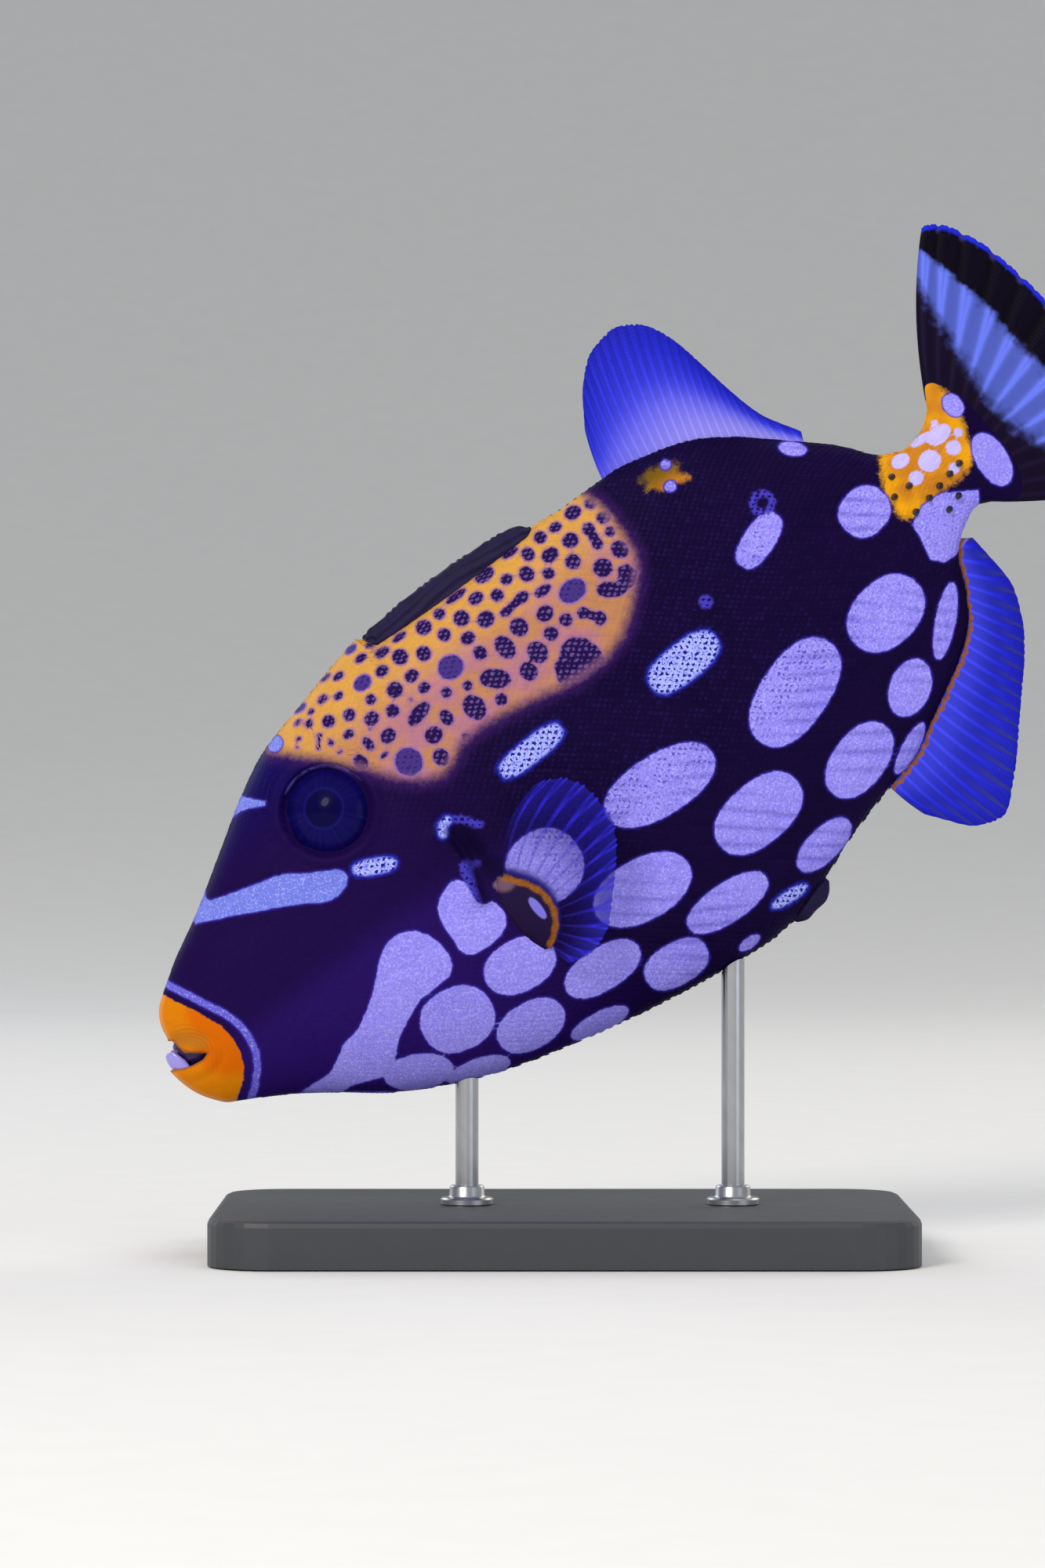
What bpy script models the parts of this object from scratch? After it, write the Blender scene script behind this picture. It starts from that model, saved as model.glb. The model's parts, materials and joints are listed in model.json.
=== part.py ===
"""Clown triggerfish: a still, life-size museum model, nose down, on a plain display stand.

The fish is described in its own side view, in millimetres: s runs from the upper lip to
the tail along the body's axis, h runs from the axis towards the back, and y across the
body, with the left side at -y. An empty then pitches it nose down over its stand.
"""

import math
from collections.abc import Callable
from dataclasses import dataclass

import bmesh
import bpy
import numpy as np

MM = 0.001
GAP = 0.3

# Pose over the stand: the body's pitch and where the upper lip ends up.
PITCH = math.radians(36.5)
SNOUT_X = -103.0
SNOUT_Z = 54.0

# The back, the belly, the half width and the height of the widest line, against s.
BACK = [
    (-3.6, -6.4), (-2, -3.5), (0, -0.8), (0.8, 0.5), (1.2, 3), (2, 5.5), (4, 8.5), (6.5, 10.5),
    (15, 16), (25, 21.5), (40, 31), (55, 40.5), (65, 45.5), (80, 49.5), (95, 53.3), (102, 54.6),
    (105.5, 50.4), (130, 49.8), (153, 49.9), (156.5, 51), (165, 50.2), (180, 50.2), (192, 48),
    (202, 44.8), (212, 38.6), (222, 30), (232, 21), (240, 12), (246, 9.8), (251, 10.6), (258, 16),
]  # fmt: skip
BELLY = [
    (-3.6, -6.6), (-3.3, -9), (-2.3, -13), (-1, -16), (1, -19), (3.5, -21.8), (6, -23.2),
    (15, -28), (25, -34.5), (40, -45.5), (50, -51), (65, -57.4), (85, -63), (110, -68.2),
    (130, -71), (142, -71.9), (150, -71.2), (162, -67.6), (175, -62.6), (190, -58.4), (200, -56.2),
    (210, -50.6), (220, -45.2), (231, -37.4), (237, -28), (240, -21), (246, -15.5), (252, -13),
    (258, -16),
]  # fmt: skip
HALF_WIDTH = [
    (-3.6, 1.4), (-3, 3.6), (-1.5, 5.6), (1, 7.2), (4, 8.4), (9, 9.8), (15, 11.3), (25, 14),
    (40, 17.4), (55, 20.2), (70, 22.4), (85, 23.8), (100, 24.3), (118, 23.8), (138, 21.8),
    (158, 18.9), (178, 15.7), (198, 12.4), (216, 9.6), (232, 7.2), (244, 5.8), (258, 4.6),
]  # fmt: skip
WIDEST = [(-3.6, -6.5), (8, -6), (30, -5), (50, -1), (75, 3), (100, 2), (160, 1), (230, -2), (258, 0)]
RIDGE = 1.0
BACK_SHARPNESS = (2.2, 0.56)
BELLY_SHARPNESS = (1.9, 0.62)

# The mouth, seen from the side, and the dark core behind the teeth.
GAPE = [
    (-9, 1.4), (0.5, 0.4), (2, -1), (2, -2.5), (2.5, -4.5), (4, -6), (6, -7.5), (7.3, -8.5),
    (5.5, -9.3), (3, -8.8), (0, -8), (-2, -7), (-3.4, -6.4), (-9, -5.8),
]  # fmt: skip
MOUTH_CORE_FRONT = 2.2
MOUTH_CORE_HALF_WIDTH = 4.2
TOOTH_THICKNESS = 1.6
TOOTH_COLUMNS = 3

# Head.
EYE = (70.9, 24.0)
EYE_RADIUS = 10.6
EYE_DEPTH_RADIUS = 6.4
EYE_SUNK = 3.9
ORBIT_RADIUS = 10.9
NOSTRILS = [(56.6, 28.4), (59.8, 27.2)]
NOSTRIL_RADIUS = 0.8
EYE_GROOVE = [(46.0, 17.5), (58.5, 21.0)]
GILL_EDGE = [(90.2, 2.0), (90.4, -8.0), (87.4, -18.5)]
GILL_HOLLOW = (93.2, -6.0)

# Shading: edges sharper than this stay sharp, and far less on the ridged fins.
SHARP_ANGLE = math.radians(38)
RAY_ANGLE = math.radians(9)

# Fins: their thickness at the root and at the edge, and the height of their rays.
FIN_ROOT = 1.9
FIN_EDGE = 0.56
RAY_HEIGHT = 0.4
SOFT_DORSAL_BASE = (177.5, 226.0)
SOFT_DORSAL_EDGE = [
    (182, 63.5), (188.5, 73), (195.5, 78.8), (202.5, 80.3), (208.5, 77.8), (212.8, 71.8),
    (215, 64.3), (216.4, 56.6), (218, 48.6), (220.6, 39.8), (226.8, 29.6),
]  # fmt: skip
ANAL_BASE = (190.5, 243.0)
ANAL_EDGE = [
    (193.4, -69.5), (202.5, -79.8), (209, -81.8), (217, -75.8), (223.3, -69.2), (229, -62.8),
    (234.4, -57), (239.8, -50.8), (244.4, -43.6), (247.6, -33.2), (246.4, -19.2),
]  # fmt: skip
TAIL_AXIS = math.radians(11.5)
TAIL_ORIGIN = (257.0, 0.0)
TAIL_EDGE = [(44, 0), (44.4, 9.5), (45.1, 19.5), (45, 29), (43.3, 38.4), (40.6, 44.6), (37.2, 47.5)]
PECTORAL_ROOT = [(96, -17.2), (99.8, -20.5), (102.6, -25), (102.8, -30), (100, -35), (95, -38.8)]
PECTORAL_LOBE = [(94, -17), (92.4, -20), (91.2, -25), (91.2, -30), (92.2, -35), (93.6, -38.6)]
PECTORAL_EDGE = [
    (118, -2.7), (124, -6), (127.3, -12.5), (127.8, -20), (125.5, -26), (121, -32), (115, -38.5),
    (109, -44.2), (102.5, -46.2), (96.6, -45.2),
]  # fmt: skip
PECTORAL_SPREAD = {"left": math.tan(math.radians(25)), "right": math.tan(math.radians(30))}

# First dorsal fin, folded into its groove: the step down to the groove, then each
# spine's root, tip and radius at the root.
GROOVE_STEP = (102.0, 105.5)
FOLDED_BASE = (107.2, 153.0)
FOLDED_SPINES = [
    ((108.6, 53.1), (151.5, 54.2), 2.1),
    ((114.5, 52.5), (153.2, 52.7), 1.7),
    ((125.0, 52.0), (154.0, 51.6), 1.4),
]
PELVIC_BASE = (149.0, 163.0)
PELVIC_EDGE = [(150.2, -72.3), (153, -73.3), (156, -72.7), (159, -72.4), (161.5, -70.9), (163.2, -68.6)]

# Rows of small hooked spines on each side before the tail fin.
TAIL_SPINES = [
    (238, -5.0), (243, -4.2), (247, -3.2), (251, -2.3), (254.6, -1.6), (235.8, 1.4), (240.6, 1.5),
    (238.4, 6.0), (245.5, -9.6), (249.5, -8.2),
]  # fmt: skip
TAIL_SPINE_RADIUS = 1.25
TAIL_SPINE_HEIGHT = 1.9

# Stand.
BASE_SIZE = (180.0, 120.0, 12.0)
BASE_CORNER = 16.0
BASE_CHAMFER = 1.6
ROD_RADIUS = 3.0
ROD_X = {"front": -25.0, "rear": 44.0}
ROD_TOP = 95.0
ROD_SIDES = 24


def through(keys):
    """A smooth curve through (place, value) keys that makes no bump between them."""
    x, v = np.array(keys, float).T
    step = np.diff(x)
    slope = np.diff(v) / step
    tangent = np.zeros_like(v)
    tangent[0], tangent[-1] = slope[0], slope[-1]
    before, after = slope[:-1], slope[1:]
    same = before * after > 0
    near, far = 2 * step[1:] + step[:-1], step[1:] + 2 * step[:-1]
    tangent[1:-1][same] = ((near + far)[same]) / (near[same] / before[same] + far[same] / after[same])

    def value(at):
        at = np.clip(at, x[0], x[-1])
        i = np.clip(np.searchsorted(x, at, side="right") - 1, 0, len(step) - 1)
        t = (at - x[i]) / step[i]
        start = (1 + 2 * t) * (1 - t) ** 2 * v[i] + t * (1 - t) ** 2 * step[i] * tangent[i]
        end = t * t * (3 - 2 * t) * v[i + 1] + t * t * (t - 1) * step[i] * tangent[i + 1]
        return start + end

    return value


def curve_through(points):
    """A smooth curve in the side view through evenly spaced points, from 0 to 1."""
    places = np.linspace(0, 1, len(points))
    s_of = through([(p, point[0]) for p, point in zip(places, points)])
    h_of = through([(p, point[1]) for p, point in zip(places, points)])
    return lambda at: np.stack([s_of(at), h_of(at)], axis=-1)


back_of = through(BACK)
belly_of = through(BELLY)
width_of = through(HALF_WIDTH)
widest_of = through(WIDEST)


def far_from(point, s, h):
    """Distance in the side view from one point."""
    return np.hypot(s - point[0], h - point[1])


def far_from_line(points, s, h):
    """Distance in the side view from a line through points."""
    nearest = np.full(np.shape(s), np.inf)
    for (s0, h0), (s1, h1) in zip(points, points[1:]):
        length = (s1 - s0) ** 2 + (h1 - h0) ** 2
        along = np.clip(((s - s0) * (s1 - s0) + (h - h0) * (h1 - h0)) / length, 0, 1)
        distance = np.hypot(s - s0 - along * (s1 - s0), h - h0 - along * (h1 - h0))
        nearest = np.minimum(nearest, distance)
    return nearest


def no_relief(s, h):
    return 0.0 * s


def head_relief(s, h):
    """The rim round the eye, the groove before it, the nostrils' rims and the gill's edge."""
    rim = 1.0 * np.exp(-(((far_from(EYE, s, h) - ORBIT_RADIUS) / 2.0) ** 2))
    groove = -0.7 * np.exp(-((far_from_line(EYE_GROOVE, s, h) / 2.0) ** 2))
    nostrils = sum(0.6 * np.exp(-((far_from(place, s, h) / 1.5) ** 2)) for place in NOSTRILS)
    flap = 1.4 * np.exp(-((far_from_line(GILL_EDGE, s, h) / 2.8) ** 2))
    return rim + groove + nostrils + flap


def torso_relief(s, h):
    """The hollow behind the gill's edge."""
    s0, h0 = GILL_HOLLOW
    return -2.2 * np.exp(-(((s - s0) / 3.4) ** 2) - ((h - h0) / 8.0) ** 2)


def half_width(s, h, relief=no_relief):
    """How far the skin stands from the middle plane at a place in the side view."""
    top, bottom, middle = back_of(s), belly_of(s), widest_of(s)
    up = np.clip((h - middle) / np.maximum(top - middle, 0.05), 0, 1)
    down = np.clip((middle - h) / np.maximum(middle - bottom, 0.05), 0, 1)
    back = (1 - up ** BACK_SHARPNESS[0]) ** BACK_SHARPNESS[1]
    belly = (1 - down ** BELLY_SHARPNESS[0]) ** BELLY_SHARPNESS[1]
    fullness = np.where(h > middle, back, belly)
    return RIDGE + (width_of(s) - RIDGE) * fullness + relief(s, h) * np.minimum(fullness * 2, 1)


@dataclass
class Rib:
    """A line across the side view from the back to the belly, bowed towards the tail."""

    top: float
    bottom: float
    bow: float = 0.0
    skew: float = 0.0

    def towards(self, other, part):
        pairs = zip(vars(self).values(), vars(other).values())
        return Rib(*[a + (b - a) * part for a, b in pairs])

    def moved(self, along):
        return Rib(self.top + along, self.bottom + along, self.bow, self.skew)

    def points(self, angles):
        high, low = back_of(self.top), belly_of(self.bottom)
        middle = widest_of((self.top + self.bottom) / 2)
        rise = np.sin(angles)
        h = middle + np.where(rise > 0, (high - middle) * rise, (middle - low) * rise)
        level = (2 * h - high - low) / (high - low)
        straight = self.bottom + (self.top - self.bottom) * (level + 1) / 2
        s = straight + self.bow * (1 - level**2) * (1 - self.skew * level)
        return np.stack([s, h], axis=-1)


# Where the body is parted.
LIPS_END = Rib(7.0, 5.7, 8.85, 0.35)
HEAD_END = Rib(74.0, 76.0, 15.0, -0.3)
TORSO_END = Rib(169.5, 164.0, 2.0)
REAR_END = Rib(231.5, 244.5, 0.0)
TAIL_BASE_END = Rib(256.4, 255.6, 3.0)


def hex_colour(code):
    """Linear colour from an sRGB code."""
    parts = [int(code[i : i + 2], 16) / 255 for i in (1, 3, 5)]
    linear = [c / 12.92 if c <= 0.04045 else ((c + 0.055) / 1.055) ** 2.4 for c in parts]
    return (*linear, 1.0)


def finish(name, code, roughness, metallic=0.0, coat=0.0):
    material = bpy.data.materials.new(name)
    material.use_nodes = True
    shader = material.node_tree.nodes["Principled BSDF"]
    shader.inputs["Base Color"].default_value = hex_colour(code)
    shader.inputs["Roughness"].default_value = roughness
    shader.inputs["Metallic"].default_value = metallic
    shader.inputs["Coat Weight"].default_value = coat
    return material


def make_object(name, vertices, faces, material, parent=None, sharp=SHARP_ANGLE):
    """A closed mesh object from millimetre points, shaded smooth but for its sharp edges."""
    mesh = bpy.data.meshes.new(name)
    mesh.from_pydata((np.asarray(vertices, float) * MM).tolist(), [], faces)
    shape = bmesh.new()
    shape.from_mesh(mesh)
    bmesh.ops.recalc_face_normals(shape, faces=shape.faces)
    shape.to_mesh(mesh)
    shape.free()
    mesh.materials.append(material)
    shade(mesh, sharp)
    piece = bpy.data.objects.new(name, mesh)
    bpy.context.scene.collection.objects.link(piece)
    piece.parent = parent
    return piece


def shade(mesh, sharp=SHARP_ANGLE):
    mesh.shade_smooth()
    mesh.set_sharp_from_angle(angle=sharp)


def between(name, first, second, material, parent, sharp=SHARP_ANGLE):
    """A closed solid between two faces of one grid of points, split alike on both."""
    rows, columns = first.shape[:2]
    count = rows * columns
    points = np.concatenate([first.reshape(count, 3), second.reshape(count, 3)])
    at = np.arange(count).reshape(rows, columns)
    faces = []
    for i in range(rows - 1):
        for j in range(columns - 1):
            a, b, c, d = (int(k) for k in (at[i, j], at[i + 1, j], at[i + 1, j + 1], at[i, j + 1]))
            faces += [(a, b, c), (a, c, d)]
            faces += [(a + count, c + count, b + count), (a + count, d + count, c + count)]
    rim = [*at[0, :], *at[1:, -1], *at[-1, -2::-1], *at[-2:0:-1, 0]]
    for a, b in zip(rim, rim[1:] + rim[:1]):
        a, b = int(a), int(b)
        faces += [(a, b, b + count), (a, b + count, a + count)]
    return make_object(name, points, faces, material, parent, sharp)


def slab(name, side, left, right, material, parent, sharp=SHARP_ANGLE):
    """A closed solid over a grid of the side view, from its left face to its right face."""
    faces = [np.dstack([side[..., 0], y, side[..., 1]]) for y in (left, right)]
    return between(name, *faces, material, parent, sharp)


def sphere_points(radii, segments, rings):
    """Points and faces of an ellipsoid round the origin, its poles on its last axis."""
    points = [(0, 0, radii[2])]
    for ring in range(1, rings):
        tilt = math.pi * ring / rings
        for k in range(segments):
            turn = 2 * math.pi * k / segments
            x, y = math.sin(tilt) * math.cos(turn), math.sin(tilt) * math.sin(turn)
            points.append((radii[0] * x, radii[1] * y, radii[2] * math.cos(tilt)))
    points.append((0, 0, -radii[2]))
    faces = []
    last = len(points) - 1
    for k in range(segments):
        after = (k + 1) % segments
        faces.append((0, 1 + k, 1 + after))
        faces.append((last, last - segments + after, last - segments + k))
        for ring in range(rings - 2):
            a, b = 1 + ring * segments, 1 + (ring + 1) * segments
            faces += [(a + k, b + k, b + after), (a + k, b + after, a + after)]
    return np.array(points), faces


def cone_points(start, end, r0, r1, sides, lift=(0, 0, 0)):
    """Points and faces of a tapered round bar from start to end, its middle bent by lift."""
    start, end, lift = (np.array(p, float) for p in (start, end, lift))
    along = (end - start) / np.linalg.norm(end - start)
    across = np.cross(along, (0, 1, 0) if abs(along[1]) < 0.9 else (1, 0, 0))
    across /= np.linalg.norm(across)
    other = np.cross(along, across)
    points = []
    levels = (0, 0.5, 1) if lift.any() else (0, 1)
    for level in levels:
        centre = start + (end - start) * level + lift * 4 * level * (1 - level)
        radius = r0 + (r1 - r0) * level
        for k in range(sides):
            turn = 2 * math.pi * k / sides
            points.append(centre + radius * (math.cos(turn) * across + math.sin(turn) * other))
    faces = [tuple(range(sides)), tuple(range(len(points) - 1, len(points) - sides - 1, -1))]
    for level in range(len(levels) - 1):
        for k in range(sides):
            after = (k + 1) % sides
            a, b = level * sides, (level + 1) * sides
            faces.append((a + k, b + k, b + after, a + after))
    return points, faces


def apply_modifiers(piece):
    """Writes the evaluated shape into the mesh and keeps only its largest closed surface."""
    graph = bpy.context.evaluated_depsgraph_get()
    mesh = bpy.data.meshes.new_from_object(piece.evaluated_get(graph))
    piece.modifiers.clear()
    piece.data = mesh
    shape = bmesh.new()
    shape.from_mesh(mesh)
    islands = []
    unseen = set(shape.verts)
    while unseen:
        stack = [unseen.pop()]
        island = set(stack)
        while stack:
            for edge in stack.pop().link_edges:
                for vertex in edge.verts:
                    if vertex in unseen:
                        unseen.discard(vertex)
                        island.add(vertex)
                        stack.append(vertex)
        islands.append(island)
    islands.sort(key=len)
    for island in islands[:-1]:
        bmesh.ops.delete(shape, geom=list(island), context="VERTS")
    bmesh.ops.triangulate(shape, faces=shape.faces)
    shape.to_mesh(mesh)
    shape.free()
    shade(mesh)


def cut(piece, cutters, operation="DIFFERENCE"):
    """One Boolean with a collection of closed meshes, applied; the collection goes."""
    group = bpy.data.collections.new(piece.name + "_tools")
    for cutter in cutters:
        for old in cutter.users_collection:
            old.objects.unlink(cutter)
        group.objects.link(cutter)
    bpy.context.scene.collection.children.link(group)
    bpy.context.view_layer.update()
    modifier = piece.modifiers.new("join", "BOOLEAN")
    modifier.operation = operation
    modifier.operand_type = "COLLECTION"
    modifier.collection = group
    modifier.solver = "EXACT"
    apply_modifiers(piece)
    for cutter in cutters:
        bpy.data.objects.remove(cutter)
    bpy.data.collections.remove(group)


def inflated(piece, distance):
    """A copy of a solid whose skin stands further out."""
    copy = piece.copy()
    copy.data = piece.data.copy()
    copy.name = piece.name + "_wide"
    bpy.context.scene.collection.objects.link(copy)
    normals = np.empty(len(copy.data.vertices) * 3)
    points = np.empty_like(normals)
    copy.data.vertices.foreach_get("co", points)
    copy.data.vertex_normals.foreach_get("vector", normals)
    copy.data.vertices.foreach_set("co", points + normals * distance * MM)
    copy.hide_render = True
    copy.display_type = "WIRE"
    return copy


def even_angles(rows):
    return np.linspace(math.pi / 2, -math.pi / 2, rows)


def body_segment(name, start, end, parts, angles, material, fish, relief=no_relief):
    """A length of the body from one rib to another, with a rib at each of its parts."""
    side = np.stack([start.towards(end, part).points(angles) for part in parts])
    across = half_width(side[..., 0], side[..., 1], relief)
    return slab(name, side, -across, across, material, fish)


def lips_grid(columns, rows):
    """The front of the snout: a grid from its outline back to the rear edge of the lips."""
    places = np.linspace(-3.6, 6.5, 200)
    lower = np.stack([places, belly_of(places)], axis=-1)[::-1]
    upper = np.stack([places, back_of(places)], axis=-1)
    outline = np.concatenate([lower, upper])
    angles = np.linspace(math.pi / 2, -math.pi / 2, rows)
    rear = LIPS_END.points(angles)
    front_h = 5.0 * (np.sin(angles) + 1) / 2 - 16.0 * (1 - np.sin(angles)) / 2
    front = np.stack([np.interp(front_h, outline[:, 1], outline[:, 0]), front_h], axis=-1)
    grid = []
    for part in np.linspace(0, 1, columns):
        reach = part**1.7
        line = front * (1 - reach) + rear * reach
        top, bottom = back_of(line[0, 0]), belly_of(line[-1, 0])
        share = (line[:, 1] - line[-1, 1]) / (line[0, 1] - line[-1, 1])
        grid.append(np.stack([line[:, 0], bottom + (top - bottom) * share], axis=-1))
    return np.stack(grid)


@dataclass
class Jaw:
    """A row of teeth: their number, its curve from above, its height and the lip under it."""

    teeth: int
    back: float
    reach: float
    half: float
    tall: float
    up: int
    gum: Callable


def extruded(name, outline, half, material, fish):
    """A flat outline of the side view made solid across the body."""
    count = len(outline)
    points = [(s, -half, h) for s, h in outline] + [(s, half, h) for s, h in outline]
    faces = [tuple(range(count)), tuple(range(2 * count - 1, count - 1, -1))]
    faces += [(k, (k + 1) % count, (k + 1) % count + count, k + count) for k in range(count)]
    return make_object(name, points, faces, material, fish)


def build_lips(fish, material):
    """The fleshy lips with the mouth open between them, dark and solid further in."""
    side = lips_grid(12, 17)
    across = half_width(side[..., 0], side[..., 1])
    across[0] = RIDGE
    lips = slab("lips", side, -across, across, material, fish)
    gape = extruded("gape", GAPE, 14, material, fish)
    front, half = MOUTH_CORE_FRONT, MOUTH_CORE_HALF_WIDTH
    plan = [(12, -half), (12, half), (front + 1.5, half), (front, half - 1.8), (front, 1.8 - half)]
    plan.append((front + 1.5, -half))
    points = [(s, y, -14.0) for s, y in plan] + [(s, y, 6.0) for s, y in plan]
    count = len(plan)
    faces = [tuple(range(count)), tuple(range(2 * count - 1, count - 1, -1))]
    faces += [(k, (k + 1) % count, (k + 1) % count + count, k + count) for k in range(count)]
    core = make_object("mouth_core", points, faces, material, fish)
    cut(gape, [core])
    cut(lips, [gape])
    return lips


def tooth_row(name, jaw, material, fish):
    """A row of rounded teeth, fused at their sides, on the curve of one jaw."""
    columns = jaw.teeth * TOOTH_COLUMNS + 1
    turn = np.linspace(-1, 1, columns) * math.radians(88)
    s = jaw.back - jaw.reach * np.cos(turn)
    y = jaw.half * np.sin(turn)
    out = np.stack([-np.cos(turn) / jaw.reach, np.sin(turn) / jaw.half], axis=-1)
    out /= np.linalg.norm(out, axis=-1, keepdims=True)
    place = np.linspace(0, jaw.teeth, columns) % 1
    crown = np.sqrt(np.clip(1 - (2 * place - 1) ** 2, 0, 1))
    tall = jaw.tall * (1 - 0.66 * np.sin(turn) ** 2) * (0.6 + 0.4 * crown)
    thick = TOOTH_THICKNESS / 2 * (0.5 + 0.5 * crown)
    faces = []
    for sign in (1, -1):
        rows = []
        for level, width in ((0.0, 1.0), (0.4, 1.1), (0.8, 0.85), (1.0, 0.35)):
            plan = np.stack([s, y], axis=-1) + out * (sign * width * thick)[:, None]
            h = jaw.gum(plan[:, 0]) + jaw.up * (GAP + 0.1 + tall * level)
            rows.append(np.stack([plan[:, 0], plan[:, 1], h], axis=-1))
        faces.append(np.stack(rows))
    return between(name, faces[0], faces[1], material, fish, math.radians(60))


def build_teeth(fish, material):
    """The strong front teeth that show between the open lips."""
    lower_lip = through(sorted(GAPE[8:13]))
    upper_lip = through(sorted(GAPE[1:3]))
    tooth_row("teeth_lower", Jaw(8, 4.0, 6.7, 5.4, 3.8, 1, lower_lip), material, fish)
    tooth_row("teeth_upper", Jaw(4, 1.3, 0.8, 3.4, 2.3, -1, upper_lip), material, fish)


def skin_place(s, h, side, relief=no_relief):
    """The point on the skin over a place in the side view, and the way out of it."""
    sign = -1 if side == "left" else 1
    small = 0.5
    y = float(half_width(np.array(s), np.array(h), relief))
    along = float(half_width(np.array(s + small), np.array(h), relief)) - y
    up = float(half_width(np.array(s), np.array(h + small), relief)) - y
    normal = np.array([-along / small, 1.0, -up / small])
    normal /= np.linalg.norm(normal)
    return np.array([s, sign * y, h]), normal * np.array([1, sign, 1])


def eyeball(name, side, grown, sides, material, fish):
    """An eyeball, flatter than it is wide, that looks straight out of the skin."""
    centre, out = skin_place(*EYE, side)
    radii = (EYE_RADIUS + grown, EYE_RADIUS + grown, EYE_DEPTH_RADIUS + grown)
    points, faces = sphere_points(radii, *sides)
    across = np.cross(out, (0, 0, 1))
    across /= np.linalg.norm(across)
    frame = np.stack([across, np.cross(out, across), out])
    return make_object(name, points @ frame + centre - out * EYE_SUNK, faces, material, fish)


def build_head(fish, skin, eye_finish):
    parts = 1 - (1 - np.linspace(0, 1, 24)) ** 1.2
    near_eye = np.arange(60, 4, -4)
    angles = np.concatenate([np.arange(90, 60, -7.5), near_eye, np.arange(2, -85, -8), [-90]])
    ends = LIPS_END.moved(GAP), HEAD_END.moved(-GAP)
    head = body_segment("head", *ends, parts, np.radians(angles), skin, fish, head_relief)
    wide = inflated(head, GAP)
    tools = []
    for side in ("left", "right"):
        eyeball("eye_" + side, side, 0.0, (22, 10), eye_finish, fish)
        tools.append(eyeball("socket_" + side, side, GAP + 0.1, (18, 8), skin, fish))
        for s, h in NOSTRILS:
            place, out = skin_place(s, h, side, head_relief)
            points, faces = cone_points(place + out * 1.5, place - out, 1.1, NOSTRIL_RADIUS * 0.8, 8)
            tools.append(make_object("nostril", points, faces, skin, fish))
    cut(head, tools)
    return wide


def edge_line(curve, start, end, parts, side):
    """Points a gap off the back (side 1) or the belly (side -1), evenly along it."""
    s = np.linspace(start, end, 400)
    line = np.stack([s, curve(s)], axis=-1)
    run = np.concatenate([[0], np.cumsum(np.linalg.norm(np.diff(line, axis=0), axis=1))])
    even = np.interp(parts * run[-1], run, s)
    slope = (curve(even + 0.2) - curve(even - 0.2)) / 0.4
    out = np.stack([-slope, np.ones_like(slope)], axis=-1) / np.hypot(slope, 1)[:, None]
    return np.stack([even, curve(even)], axis=-1) + out * side * GAP


def ray_rows(roots, tips, rows, bulge):
    """A grid whose columns run from root to tip, bowed by bulge times their length."""
    share = np.linspace(0, 1, rows)[:, None, None]
    chord = tips - roots
    normal = np.stack([-chord[:, 1], chord[:, 0]], axis=-1)
    return roots + chord * share + normal * (bulge[:, None] * 4 * share * (1 - share))


def ray_ridges(rows, columns, height):
    """Ridges on every second column, lower towards the edge of the fin."""
    share = np.linspace(0, 1, rows)[:, None]
    ridge = np.where(np.arange(columns) % 2 == 1, height, 0.0)[None, :]
    return ridge * (1 - 0.5 * share) * np.minimum(1, 8 * (1 - share) + 0.25)


def build_fin(name, roots, tips, bulge, rows, sway, material, fish):
    """A fin on the middle plane, waved sideways towards its edge."""
    side = ray_rows(roots, tips, rows, bulge)
    share = np.linspace(0, 1, rows)[:, None]
    half = (FIN_ROOT + (FIN_EDGE - FIN_ROOT) * share**0.6) / 2
    half = half + ray_ridges(rows, len(roots), RAY_HEIGHT)
    middle = sway[None, :] * share**1.6
    return slab(name, side, middle - half, middle + half, material, fish, RAY_ANGLE)


def build_soft_dorsal(fish, material):
    parts = np.linspace(0, 1, 51)
    roots = edge_line(back_of, *SOFT_DORSAL_BASE, parts, 1)
    tips = curve_through(SOFT_DORSAL_EDGE)(parts)
    sway = 4.5 * np.sin(2 * math.pi * (parts * 0.95 + 0.08))
    build_fin("soft_dorsal_fin", roots, tips, 0.03 * (1 - parts), 7, sway, material, fish)


def build_anal(fish, material):
    parts = np.linspace(0, 1, 45)
    roots = edge_line(belly_of, *ANAL_BASE, parts, -1)
    tips = curve_through(ANAL_EDGE)(parts)
    sway = 4.0 * np.sin(2 * math.pi * (parts * 0.9 + 0.5))
    build_fin("anal_fin", roots, tips, -0.03 * (1 - parts), 7, sway, material, fish)


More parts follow.
